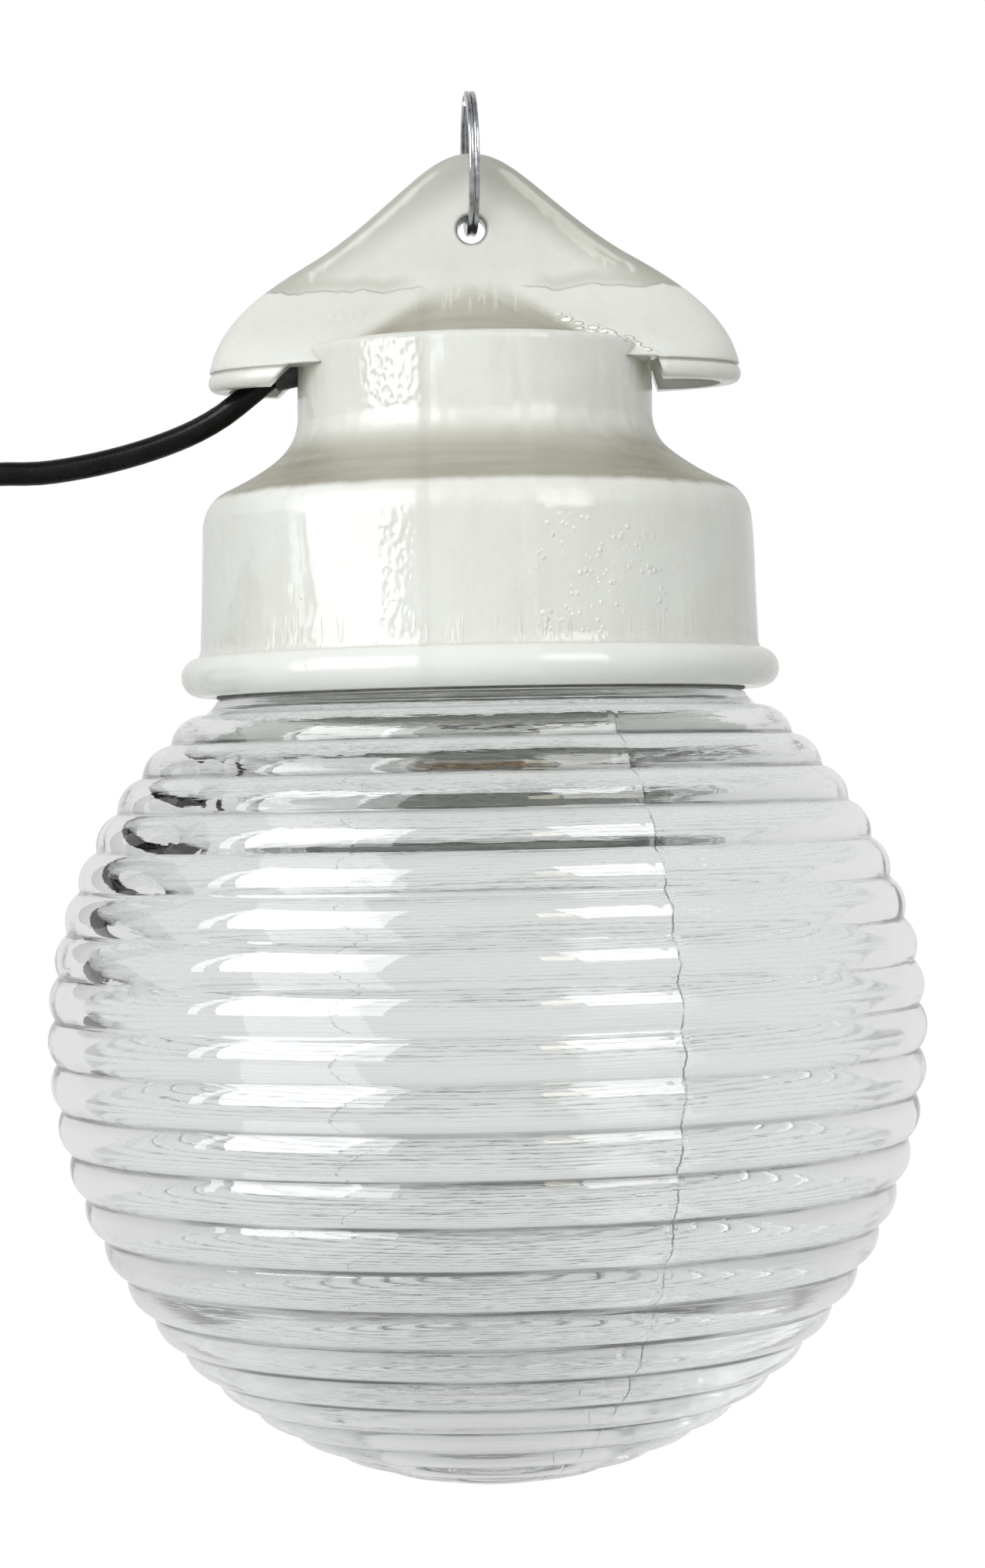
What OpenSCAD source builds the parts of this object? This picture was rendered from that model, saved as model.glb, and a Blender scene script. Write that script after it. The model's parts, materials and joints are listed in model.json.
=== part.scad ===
// Industrial pendant lamp: a glazed porcelain fitting with a hood, hung from a split
// ring, with a ribbed glass globe that screws into its skirt, and a cord.
// Frame: Z is up, X runs along the hood from wing to wing, and the origin is where
// the ring rests on the hook that carries the lamp.

/* [Hanging ring] */
// Inside diameter of the split ring
ring_id = 22; // [21:0.5:24]
// Radial width of the flat wire of the ring
ring_wire_w = 2.2; // [1.8:0.1:2.4]
// Thickness of one turn of the ring
ring_turn_t = 0.9; // [0.7:0.05:1]
// Slit between the two turns of the ring
ring_slit = 0.1; // [0.05:0.05:0.2]

/* [Ear] */
// Thickness of the ear
ear_t = 8; // [7:0.25:9]
// Diameter of the hole in the ear
ear_hole_d = 5.2; // [5:0.1:6]
// Height of the ear's top above its hole
ear_h = 14.3; // [13:0.1:16]
// Play between the ring and the top of the hole
ring_gap = 0.2; // [0.1:0.05:0.3]

/* [Hood] */
// Length of the hood from wing tip to wing tip
hood_l = 97; // [94:0.5:102]
// Height of the hood from its top to its lip
hood_h = 39.4; // [38:0.1:42]
// Width of the hood at its lip
hood_w = 42; // [38:0.5:46]
// Height of the ear's straight part below its top
ear_straight = 20.8; // [18:0.2:22]
// Height of the lip round each wing
lip_h = 3.4; // [2.6:0.1:4]
// Diameter of the hollow under each wing
wing_hollow_d = 19; // [16:0.5:20]
// Least wall at the tip of each wing
wing_wall = 3.5; // [3:0.1:5]
// Gap between the neck and the lip of each wing
lip_gap = 3.8; // [3:0.1:6]

/* [Neck and skirt] */
// Outside diameter of the neck
neck_od = 64.8; // [62:0.2:68]
// Wall of the neck
neck_wall = 5.9; // [5:0.1:6.5]
// Depth of the neck's top below the hood's top
neck_drop = 36.1; // [35:0.1:38]
// Height from the neck's top to the skirt's top
neck_h = 24.6; // [23:0.1:28]
// Radius of the cove between neck and skirt
cove_r = 8.5; // [7:0.1:10]
// Outside diameter at the foot of the skirt
skirt_od = 102; // [100:0.5:106]
// Narrowing of the skirt towards its top, on the diameter
skirt_taper = 1.6; // [0:0.1:3]
// Height of the skirt above its bead
skirt_h = 30.8; // [29:0.1:34]
// Radius of the skirt's shoulder
shoulder_r = 8.6; // [6:0.1:9]
// Thickness of the bead round the foot
bead_d = 7.2; // [6:0.1:8]
// Thickness of the shelf that carries the lampholder
shelf_t = 5; // [4:0.1:6]
// Depth of the shelf's top below the neck's top
shelf_drop = 11.7; // [11.4:0.1:13]
// Opening in the shelf
shelf_id = 34; // [33:0.2:36]

/* [Glass] */
// Largest diameter of the glass over its ribs
globe_d = 160; // [150:0.5:170]
// Height of the glass from its widest place to its shoulder, as an ellipse
globe_up = 78; // [76:0.2:82]
// Height of the glass from its widest place to its foot
globe_down = 82; // [78:0.2:90]
// Drop from the glass shoulder to its widest place
globe_drop = 61.2; // [59:0.2:63]
// Radius of one rib of the glass
rib_r = 6.2; // [5.6:0.1:6.6]
// Angle from one rib to the next, seen from the centre
rib_step = 5.85; // [5.6:0.05:6]
// Thickness of the glass inside its ribs
glass_t = 4; // [3:0.1:5]
// Outside diameter of the glass thread
thread_d = 84.5; // [84:0.1:85]
// Depth of the glass thread
thread_depth = 1.25; // [1.1:0.05:1.4]
// Pitch of the glass thread
thread_pitch = 6.35; // [6:0.05:7]
// Turns of thread on the glass and in the skirt
thread_turns = 1.75; // [1.5:0.05:2]
// Play between the glass thread and the skirt, on the radius
thread_gap = 0.75; // [0.6:0.05:0.9]
// Height of the glass collar
collar_h = 20; // [19:0.2:21]
// Wall of the glass collar
collar_wall = 4; // [3:0.1:5]
// Thickness of the gasket
gasket_t = 2.1; // [1.6:0.1:2.5]

/* [Lampholder] */
// Outside diameter of the lampholder's barrel
barrel_od = 35.4; // [34:0.2:35.8]
// Diameter of the lampholder's flange
flange_d = 51.6; // [50.6:0.2:52.4]
// Thickness of the lampholder's flange
flange_t = 8; // [7:0.1:9]
// Height of the lampholder below the shelf
holder_h = 34; // [33:0.2:36]
// Inside diameter at the crests of the screw shell
shell_crest_d = 24.4; // [24.2:0.05:24.6]
// Depth of the thread in the screw shell
shell_depth = 1; // [0.8:0.05:1.1]
// Pitch of the screw shell
shell_pitch = 3.62; // [3.5:0.01:3.7]
// Thread turns in the screw shell
shell_turns = 5; // [4:1:5]
// Thickness of the brass sheet
sheet_t = 0.5; // [0.4:0.05:0.6]
// Distance between the two holder screws
holder_screw_pitch = 43; // [42.6:0.1:43.6]
// Diameter of the holder screws
holder_screw_d = 4; // [3.5:0.1:4]
// Distance between the two terminals
terminal_pitch = 16; // [15:0.5:17]

/* [Cord] */
// Diameter of the cord
cord_d = 4.4; // [4.2:0.1:4.6]
// Diameter of one insulated core
core_d = 2; // [1.8:0.1:2]
// Slope of the entry passages in the porcelain
entry_slope = 22; // [20:0.5:24]
// Depth of each entry's outer mouth below the neck's top
entry_drop = 2; // [1.6:0.1:2.4]
// Wall of the rubber grommet in its hole
grommet_wall = 2; // [1.6:0.1:2.2]
// Turns in each layer of the put-away coil
coil_turns = 3.25; // [3:0.05:3.4]
// Radius of the coil's outer turn
coil_r = 34.8; // [34:0.1:36]
// Space between neighbouring turns of the coil
coil_gap = 0.55; // [0.5:0.05:0.8]

/* [Hidden] */
$fn = 96;
eps = 0.01;
fit = 0.1;

// Heights of the ring, the ear and the hood
ring_r = ring_id / 2;
ring_w = 2 * ring_turn_t + ring_slit;
z_ring = -ring_r;
ear_hole_r = ear_hole_d / 2;
z_hole = z_ring - sqrt(pow(ring_r, 2) - pow(ear_t / 2, 2)) + ring_gap
  - sqrt(pow(ear_hole_r, 2) - pow(ring_w / 2, 2));
z_apex = z_hole + ear_h;
z_lip = z_apex - hood_h;
z_flare = z_apex - ear_straight;
z_rim = z_lip - lip_h;
z_neck = z_apex - neck_drop;

// Heights and radii of the fitting below the hood
z_skirt = z_neck - neck_h;
z_bead = z_skirt - skirt_h;
z_foot = z_bead - bead_d + fit;
neck_r = neck_od / 2;
skirt_r = skirt_od / 2;
skirt_top_r = (skirt_od - skirt_taper) / 2;
z_shelf = z_neck - shelf_drop;
z_seat = z_shelf - shelf_t;
chamber_r = neck_r - neck_wall;

// Glass and its thread
thread_r = thread_d / 2;
collar_r = thread_r - thread_depth;
skirt_bore_r = thread_r + thread_gap;
lug_r = collar_r + 0.6;
root_sink = 0.6;
gasket_gap = 0.2;
// Share of the land between collar and skirt that stays outside the gasket
gasket_rim_share = 0.28;
gasket_r = skirt_r - gasket_rim_share * (skirt_r - collar_r);
z_shoulder = z_foot - 0.5;
gasket_seat = gasket_t + 2 * gasket_gap - (z_foot - z_shoulder);
shoulder_land_r = gasket_r + 0.4;
globe_r = globe_d / 2;
z_globe = z_shoulder - globe_drop;
rib_sink = 2.2;
ribs_up = 8;
ribs_down = floor((90 - rib_step) / rib_step);
thread_foot_w = 3;
thread_tip_w = 1.6;
thread_steps = 40;
z_lug = z_foot + 3.8;

// Lampholder
barrel_r = barrel_od / 2;
shell_r = shell_crest_d / 2;
shell_play = 0.5;
shell_collar = 4.4;
holder_bore_r = shell_r + shell_depth + sheet_t + shell_play;
boss_rise = 2;
boss_play = 2;
bridge_t = 6;
z_boss = z_shelf + boss_rise;
boss_r = shelf_id / 2 - boss_play;
z_mouth = z_seat - holder_h;
z_roof = z_seat - bridge_t;
terminal_x = terminal_pitch / 2;
terminal_size = [7, 8, 6];
rivet_r = 1.5;
rivet_head_r = 2.8;
rivet_head_h = 1.2;
washer_r = 4.2;
washer_t = 0.8;
nut_t = 3.2;
nut_af = 7;
head_r = 3.4;
head_h = 2.6;
leaf_w = 6;
leaf_l = 8;
leaf_slope = 25;
leaf_x = 4.9;

// Entry passages: distances along the passage, inward from the neck's wall
entry_z = z_neck - entry_drop;
cord_r = cord_d / 2;
entry_r = cord_r + grommet_wall + fit;
pocket_r = entry_r + 1.5;
pocket_s = 5.4;
pocket_end = 17.6;
grommet_nose = 5;
grommet_tail = 15;
nose_wall = 0.7;
tie_w = 2;
sheath_end = grommet_tail + tie_w + 0.6;
roof_w = 9;
roof_l = 34.4;
z_wire_roof = z_neck + 7.2;

// Point on the axis of the left entry passage, a distance inward from the neck's wall
function on_entry(s) = [-neck_r + s * cos(entry_slope), 0, entry_z + s * sin(entry_slope)];

// Route of the free cord, from the grommet to the coil
cord_route = [on_entry(-grommet_nose - fit / 2), [-41.5, 0, -52.6], [-46, 0, -56],
  [-51, 0, -58.8], [-57, 0, -61.2], [-64, 0, -63.3], [-72, 0, -65],
  [-80, 0, -66], [-88, 0, -66], [-94.2, -0.8, -66.8], [-99.6, -3, -69],
  [-103.6, -6.4, -72.4], [-105.7, -10.5, -76.5], [-106, -14.6, -80.6],
  [-106, -19.6, -85.6], [-106, -24.6, -90.6]];
route_end = cord_route[len(cord_route) - 1];
cores_start = on_entry(sheath_end + fit);
line_route = [cores_start - [0, 1.1, 0], [-13.4, -1.1, -40.3], [-10.8, -1, -41.4],
  [-8.8, -0.6, -43.6], [-8, 0, -46.4], [-8, 0, -48]];
neutral_route = [cores_start + [0, 1.1, 0], [-12, 1.1, -40], [-6, 1, -39.7],
  [0, 0.8, -40], [4, 0.5, -41.3], [7, 0.2, -43.7], [8, 0, -46.4], [8, 0, -48]];

// The coil stands on edge beside the globe: two layers wound about the X axis
coil_step = cord_d + coil_gap;
coil_start = 135;
coil_span = 360 * coil_turns;
coil_end = coil_start + 2 * coil_span;
coil_mid = coil_start + coil_span;
coil_rings = 24;
coil_centre = route_end + coil_r * [0, -cos(coil_start), -sin(coil_start)];
end_core_l = 26;
ferrule_l = 7;
ferrule_d = 1.2;

// Points along a cubic curve, and an outline made of two of them
function cubic(p, t) = pow(1 - t, 3) * p[0] + 3 * pow(1 - t, 2) * t * p[1]
  + 3 * (1 - t) * t * t * p[2] + t * t * t * p[3];

// Outline of the hood from its top to its lip, as shares of half length and height
hood_top = [[0, 0], [0.165, 0], [0.289, 0.249], [0.577, 0.472]];
hood_side = [[0.577, 0.472], [0.742, 0.594], [0.959, 0.736], [1, 1]];
function hood_share(t) = t < 1 ? cubic(hood_top, t) : cubic(hood_side, t - 1);

// Half width of the hood at a height: a thin ear that flares out to the lip
function flare(z) = max(0, min(1, (z_flare - z) / (z_flare - z_lip)));
function ear_round(z) = let (u = min(1, (z_apex - z + 0.3) / 4)) sqrt(1 - pow(1 - u, 2));
function hood_half_w(z) = ear_t / 2 * ear_round(z)
  + (hood_w - ear_t) / 2 * pow(flare(z), 1.9);

// One level of the hood: an oval that is boxy at the ear and round at the lip
function oval(a, b, power, z, sides) = [for (i = [0:sides - 1]) let (
    u = 360 * i / sides, c = cos(u), s = sin(u))
  [a * sign(c) * pow(abs(c), 2 / power), b * sign(s) * pow(abs(s), 2 / power), z]];
hood_sides = 40;
hood_levels = [0.1, 0.2, 0.32, 0.46, 0.6, 0.74, 0.88, 1, 1.12, 1.24, 1.36, 1.48, 1.6,
  1.7, 1.8, 1.88, 1.95, 2];
// Each lip level: depth below the lip's top as a share of lip_h, and how far it
// stands out of the hood
lip_levels = [[0.08, -0.35], [0.2, 0.2], [0.6, 0.2], [0.82, -0.5], [1, -2]];
function hood_rings() = concat(
  [for (t = hood_levels) let (p = hood_share(t), z = z_apex - p[1] * hood_h)
    oval(p[0] * hood_l / 2, hood_half_w(z), 3.4 - 1.3 * flare(z), z, hood_sides)],
  [for (p = lip_levels)
    oval(hood_l / 2 + p[1], hood_w / 2 + p[1], 2.1, z_lip - p[0] * lip_h, hood_sides)]);

// Solid through a stack of rings of points, each running anticlockwise from above,
// from the top down
module loft(rings) {
  sides = len(rings[0]);
  last = len(rings) - 1;
  skin = [for (k = [0:last - 1]) for (j = [0:sides - 1]) let (
      a = k * sides + j, b = k * sides + (j + 1) % sides)
    each [[a, b, b + sides], [a, b + sides, a + sides]]];
  caps = [for (j = [1:sides - 2]) each [[0, j + 1, j],
    [last * sides, last * sides + j, last * sides + j + 1]]];
  polyhedron([for (r = rings) each r], concat(skin, caps));
}

function unit(v) = v / norm(v);

// Tube along points; across is any direction that the route never follows
module tube(route, radius, sides, across, first, last) {
  n = len(route) - 1;
  rings = [for (k = [0:n]) let (
      t = k == 0 ? unit(first) : k == n ? unit(last) : unit(route[k + 1] - route[k - 1]),
      u = unit(cross(across, t)),
      v = cross(t, u))
    [for (j = [0:sides - 1]) let (a = 360 * j / sides)
      route[k] + radius * (cos(a) * u + sin(a) * v)]];
  skin = [for (k = [0:n - 1]) for (j = [0:sides - 1]) let (
      a = k * sides + j, b = k * sides + (j + 1) % sides)
    each [[a, b + sides, b], [a, a + sides, b + sides]]];
  caps = [for (j = [1:sides - 2]) each [[0, j, j + 1],
    [n * sides, n * sides + j + 1, n * sides + j]]];
  polyhedron([for (r = rings) each r], concat(skin, caps));
}

// Screw ridge that roots at foot_r and stands to tip_r, inward or outward
module helix_ridge(foot_r, tip_r, turns, pitch) {
  n = ceil(turns * thread_steps);
  fade = thread_steps / 8;
  points = [for (i = [0:n]) let (
      a = 360 * i / thread_steps,
      z = pitch * i / thread_steps,
      tip = foot_r + (tip_r - foot_r) * min(1, min(i, n - i) / fade))
    each [for (p = [[foot_r, -thread_foot_w], [tip, -thread_tip_w],
        [tip, thread_tip_w], [foot_r, thread_foot_w]])
      [p[0] * cos(a), p[0] * sin(a), z + p[1] / 2]]];
  skin = [for (i = [0:n - 1]) for (j = [0:3]) let (p = 4 * i + j, q = 4 * i + (j + 1) % 4)
    each [[p, q, q + 4], [p, q + 4, p + 4]]];
  caps = [[0, 3, 2], [0, 2, 1], [4 * n, 4 * n + 1, 4 * n + 2],
    [4 * n, 4 * n + 2, 4 * n + 3]];
  faces = concat(skin, caps);
  polyhedron(points, tip_r > foot_r ? faces : [for (f = faces) [f[0], f[2], f[1]]]);
}

// Places a shape on the axis of an entry passage, its Z pointing into the lamp
module at_entry() {
  translate([-neck_r, 0, entry_z]) rotate([0, 90 - entry_slope, 0]) children();
}

// Two turns side by side, with a slit between them. At the top the wire crosses from
// one turn to the other, past its own two ends.
cross_l = 3;
module hanging_ring() {
  near = ring_slit / 2;
  side = ring_w / 2;
  reach = ring_id + ring_wire_w;
  top = -cross_l;
  color("silver") difference() {
    translate([0, 0, z_ring]) rotate([0, 90, 0]) rotate_extrude()
      translate([ring_r, -side]) square([ring_wire_w, ring_w]);
    translate([-near, -reach, top - 2 * reach]) cube([ring_slit, 2 * reach, 2 * reach]);
    for (turn = [0, 180]) rotate([0, 0, turn]) {
      translate([-near, cross_l / 2, top - eps]) cube([ring_slit, reach, reach]);
      translate([0, 0, top]) linear_extrude(height = reach) polygon([
        [-near, -cross_l / 2], [side + eps, cross_l / 2], [reach, cross_l / 2],
        [reach, -cross_l / 2]]);
    }
  }
}

module wing_hollow() {
  far = hood_l / 2 - wing_wall - wing_hollow_d / 2;
  translate([0, 0, z_rim + 0.6]) {
    rotate([0, 90, 0]) cylinder(d = wing_hollow_d, h = far);
    translate([far, 0, 0]) sphere(d = wing_hollow_d);
  }
}

module hood_solid() {
  difference() {
    loft(hood_rings());
    difference() {
      for (side = [0, 1]) mirror([side, 0, 0]) wing_hollow();
      translate([0, 0, z_rim - 10]) cylinder(r = neck_r, h = 60);
    }
    translate([-neck_r - lip_gap, -hood_w, z_rim - 5])
      cube([neck_od + 2 * lip_gap, 2 * hood_w, z_lip - z_rim + 5 + fit]);
  }
}

// Half section of everything round below the hood, with the dished top of the neck
neck_bead_r = 1;
dish_r = 36.8;
dish_h = 11.4;
dish_rise = 0.5;
dish_inset = 0.4;
cove_h = 12.3;
// Point on the slope between cove and skirt: outward of the neck, above the skirt's top
slope_out = 6.2;
slope_up = 2.6;
module fitting_section() {
  foot_r = skirt_r - 0.1;
  rim_r = neck_r - neck_bead_r;
  cove_w = cove_r * (1 - cos(45));
  z_cove = z_skirt + cove_h;
  z_cove_foot = z_cove - cove_r * sin(45);
  difference() {
    union() {
      difference() {
        translate([0, z_neck - neck_bead_r]) square([rim_r, dish_h + neck_bead_r]);
        translate([rim_r - dish_inset, z_neck + dish_rise + dish_r]) circle(dish_r);
      }
      translate([rim_r, z_neck - neck_bead_r + 0.2]) circle(neck_bead_r);
      polygon([[0, z_foot], [foot_r, z_foot], [foot_r, z_bead], [skirt_r, z_bead],
        [skirt_top_r, z_skirt - shoulder_r], [skirt_top_r - shoulder_r, z_skirt],
        [neck_r + slope_out, z_skirt + slope_up], [neck_r + cove_w, z_cove_foot],
        [neck_r, z_cove_foot], [neck_r, z_neck - neck_bead_r], [0, z_neck - neck_bead_r]]);
      difference() {
        translate([neck_r - eps, z_cove_foot]) square([cove_w + eps, z_cove - z_cove_foot]);
        translate([neck_r + cove_r, z_cove]) circle(cove_r);
      }
      translate([skirt_top_r - shoulder_r, z_skirt - shoulder_r]) circle(shoulder_r);
      translate([foot_r, z_foot + bead_d / 2]) circle(d = bead_d);
    }
    translate([-skirt_od, z_foot - bead_d]) square([skirt_od, skirt_od + neck_od]);
  }
}

// Hollow of the fitting: wiring room, neck, skirt bore and gasket seat. Its roofs slope,
// so that the walls keep their thickness under the dish and the shoulder.
room_roof_r = 14;
room_roof_drop = 0.2;
room_wall_drop = 4;
bore_roof = [[chamber_r, 0.6], [skirt_bore_r - 3, 7.1], [skirt_bore_r, 10.1]];
seat_play = 0.3;
module fitting_hollow() {
  seat_r = gasket_r + seat_play;
  z_gasket = z_foot + gasket_seat;
  rotate_extrude() polygon(concat([[0, z_neck - room_roof_drop],
    [room_roof_r, z_neck - room_roof_drop], [chamber_r, z_neck - room_wall_drop],
    [chamber_r, z_shelf], [shelf_id / 2, z_shelf], [shelf_id / 2, z_seat],
    [chamber_r, z_seat]], [for (p = bore_roof) [p[0], z_skirt - p[1]]],
    [[skirt_bore_r, z_gasket], [seat_r, z_gasket], [seat_r, z_foot - 1], [0, z_foot - 1]]));
  translate([-roof_l / 2, -roof_w / 2, z_neck - 2])
    cube([roof_l, roof_w, z_wire_roof - z_neck + 2]);
}

module entry_hole() {
  at_entry() {
    translate([0, 0, -7]) cylinder(r = entry_r, h = 7 + pocket_s + eps);
    translate([0, 0, pocket_s]) cylinder(r = pocket_r, h = pocket_end - pocket_s);
  }
}

module porcelain_body() {
  color("ivory") union() {
    difference() {
      union() {
        hood_solid();
        rotate_extrude() fitting_section();
      }
      fitting_hollow();
      for (side = [0, 1]) mirror([side, 0, 0]) entry_hole();
      for (side = [-1, 1]) translate([0, side * holder_screw_pitch / 2, z_seat - 1])
        cylinder(d = holder_screw_d + 0.6, h = shelf_t + 2);
      translate([0, 0, z_hole]) rotate([90, 0, 0]) cylinder(r = ear_hole_r, h = 40, center = true);
      for (side = [0, 1]) mirror([0, side, 0]) translate([0, ear_t / 2 - 0.5, z_hole])
        rotate([-90, 0, 0]) cylinder(r1 = ear_hole_r, r2 = ear_hole_r + 1, h = 1);
    }
    translate([0, 0, z_lug])
      helix_ridge(skirt_bore_r + root_sink, lug_r, thread_turns, thread_pitch);
  }
}

// Half section of the glass: collar, shoulder and a globe of round ribs
function ellipse_at(a, up, down, t) = [a * cos(t), (t > 0 ? up : down) * sin(t)];
function rib_centre(i) = let (t = rib_step * i,
    p = ellipse_at(globe_r, globe_up, globe_down, t),
    out = unit([cos(t) / globe_r, sin(t) / (t > 0 ? globe_up : globe_down)]))
  p - rib_r * out;
rib_stand = 0.7;
shoulder_t = 3;
module glass_section() {
  wall = rib_sink + glass_t - rib_stand;
  throat_r = collar_r - collar_wall;
  top = rib_step * (ribs_up + 0.35);
  in_top = asin((globe_drop - shoulder_t) / (globe_up - wall));
  difference() {
    translate([0, z_globe]) union() {
      difference() {
        union() {
          polygon(concat([[0, globe_drop], [shoulder_land_r, globe_drop]],
            [for (i = [0:48]) let (t = top - (90 + top) * i / 48)
              ellipse_at(globe_r - rib_sink, globe_up - rib_sink, globe_down - rib_sink, t)]));
          for (i = [-ribs_down:ribs_up]) translate(rib_centre(i)) circle(rib_r);
        }
        translate([-2 * globe_r, globe_drop]) square([4 * globe_r, globe_r]);
      }
      translate([0, globe_drop - collar_wall]) square([collar_r, collar_h + collar_wall]);
    }
    translate([0, z_globe]) union() {
      polygon(concat([[0, globe_drop - shoulder_t]], [for (i = [0:40])
        let (t = in_top - (90 + in_top) * i / 40)
        ellipse_at(globe_r - wall, globe_up - wall, globe_down - wall, t)]));
      translate([0, globe_drop - 2 * collar_wall]) square([throat_r, collar_h + globe_r]);
    }
    translate([-2 * globe_r, z_globe - 2 * globe_r]) square([2 * globe_r, 4 * globe_r]);
  }
}

module glass_globe() {
  color("lightcyan", 0.4) union() {
    rotate_extrude() glass_section();
    translate([0, 0, z_lug + thread_pitch / 2])
      helix_ridge(collar_r - root_sink, thread_r, thread_turns, thread_pitch);
  }
}

module glass_gasket() {
  color("dimgray") translate([0, 0, z_shoulder + gasket_gap]) difference() {
    cylinder(r = gasket_r, h = gasket_t);
    translate([0, 0, -1]) cylinder(r = collar_r + 0.4, h = gasket_t + 2);
  }
}

module holder_body() {
  color("white") difference() {
    union() {
      translate([0, 0, z_seat - flange_t]) cylinder(d = flange_d, h = flange_t);
      translate([0, 0, z_mouth]) cylinder(r = barrel_r, h = holder_h);
      translate([0, 0, z_seat - 1]) cylinder(r = boss_r, h = z_boss - z_seat + 1);
    }
    translate([0, 0, z_mouth - 1]) cylinder(r = holder_bore_r, h = z_roof - z_mouth + 1);
    for (side = [-1, 1]) {
      translate([side * terminal_x, 0, z_roof - 1])
        cylinder(r = rivet_r + 0.1, h = z_boss - z_roof + 2);
      translate([0, side * holder_screw_pitch / 2, z_seat - flange_t - 1])
        cylinder(d = holder_screw_d + 0.4, h = flange_t + 2);
    }
  }
}

// Rolled thread of the shell: a plain collar, then crests and grooves joined by slopes
module shell_section() {
  flat = shell_pitch / 4;
  groove_r = shell_r + shell_depth;
  wave = [for (i = [0:shell_turns - 1]) each [[groove_r, -4 * i * flat],
    [shell_r, -(4 * i + 1) * flat], [shell_r, -(4 * i + 2) * flat],
    [groove_r, -(4 * i + 3) * flat]]];
  end = -4 * shell_turns * flat;
  line = concat([[groove_r, shell_collar]], wave,
    [[groove_r, end], [shell_r, end - flat], [shell_r, end - 2 * flat]]);
  last = len(line) - 1;
  translate([0, z_roof - sheet_t - shell_collar]) polygon(concat(line,
    [for (i = [last:-1:0]) line[i] + [sheet_t, 0]]));
}

module screw_shell() {
  color("goldenrod") union() {
    rotate_extrude() shell_section();
    difference() {
      translate([0, 0, z_roof - sheet_t])
        cylinder(r = shell_r + shell_depth + sheet_t, h = sheet_t);
      translate([-40, -20, z_roof - 2]) cube([42, 40, 4]);
      translate([terminal_x, 0, z_roof - 2]) cylinder(r = rivet_r + 0.1, h = 4);
    }
  }
}

module contact_foot() {
  color("gold") difference() {
    translate([-terminal_x - 3, -leaf_w / 2, z_roof - sheet_t])
      cube([terminal_x + 3 - leaf_x - 0.3, leaf_w, sheet_t]);
    translate([-terminal_x, 0, z_roof - 2]) cylinder(r = rivet_r + 0.1, h = 4);
  }
}

module contact_leaf() {
  color("gold") translate([-leaf_x, 0, z_roof - sheet_t / 2 - 0.2])
    rotate([0, leaf_slope, 0]) union() {
      translate([0, -leaf_w / 2, -sheet_t / 2]) cube([leaf_l, leaf_w, sheet_t]);
      rotate([90, 0, 0]) cylinder(d = sheet_t, h = leaf_w, center = true);
      translate([leaf_l - 1.6, 0, -sheet_t / 2 - 0.5]) cylinder(r = 1.4, h = 0.6);
    }
}

module rivet(x) {
  translate([x, 0, z_roof - sheet_t - rivet_head_h]) {
    cylinder(r = rivet_head_r, h = rivet_head_h);
    cylinder(r = rivet_r, h = z_boss - z_roof + sheet_t + rivet_head_h);
  }
}

module line_rivet() { color("gold") rivet(-terminal_x); }
module neutral_rivet() { color("gold") rivet(terminal_x); }

ferrule_hole_r = ferrule_d / 2 + 0.3;
terminal_screw_r = 1.7;
module terminal(x) {
  size = terminal_size;
  translate([x, 0, z_boss]) difference() {
    translate([-size[0] / 2, -size[1] / 2, 0]) cube(size);
    translate([0, 0, 1.2]) cylinder(r = ferrule_hole_r, h = size[2]);
    translate([0, -size[1] / 2 - 1, size[2] / 2]) rotate([-90, 0, 0])
      cylinder(r = terminal_screw_r + 0.05, h = size[1] / 2 + 1);
  }
}

module line_terminal() { color("gold") terminal(-terminal_x); }
module neutral_terminal() { color("gold") terminal(terminal_x); }

module slotted(radius, length, slot_w, slot_depth) {
  difference() {
    cylinder(r = radius, h = length);
    translate([-radius - 1, -slot_w / 2, -1]) cube([2 * radius + 2, slot_w, slot_depth + 1]);
  }
}

module terminal_screws() {
  stop = -ferrule_d / 2;
  start = -terminal_size[1] / 2 - 1;
  color("silver") for (side = [-1, 1])
    translate([side * terminal_x, start, z_boss + terminal_size[2] / 2])
      rotate([-90, 0, 0]) slotted(terminal_screw_r, stop - start - 0.05, 0.6, 0.9);
}

module holder_screws() {
  grip = flange_t + shelf_t + washer_t + nut_t + 1.2;
  color("silver") for (side = [-1, 1])
    translate([0, side * holder_screw_pitch / 2, z_seat - flange_t - head_h]) union() {
      slotted(head_r, head_h, 1, 1.1);
      translate([0, 0, head_h - eps]) cylinder(d = holder_screw_d, h = grip);
    }
}

module holder_washers() {
  color("silver") for (side = [-1, 1])
    translate([0, side * holder_screw_pitch / 2, z_shelf]) difference() {
      cylinder(r = washer_r, h = washer_t);
      translate([0, 0, -1]) cylinder(d = holder_screw_d + 0.4, h = washer_t + 2);
    }
}

module holder_nuts() {
  color("silver") for (side = [-1, 1])
    translate([0, side * holder_screw_pitch / 2, z_shelf + washer_t]) difference() {
      rotate([0, 0, 30]) cylinder(d = nut_af / cos(30), h = nut_t, $fn = 6);
      translate([0, 0, -1]) cylinder(d = holder_screw_d + 0.1, h = nut_t + 2);
    }
}

module cable_grommet() {
  bore = cord_r + 0.05;
  shank = entry_r - fit;
  color("#202020") at_entry() rotate_extrude() polygon([
    [bore, -grommet_nose], [bore + nose_wall, -grommet_nose], [shank - 0.4, -0.4],
    [shank, 0], [shank, pocket_s], [shank + 1.1, pocket_s], [shank + 1.1, pocket_s + 2],
    [shank - 0.3, pocket_s + 2], [bore + nose_wall, grommet_tail], [bore, grommet_tail]]);
}

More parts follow.
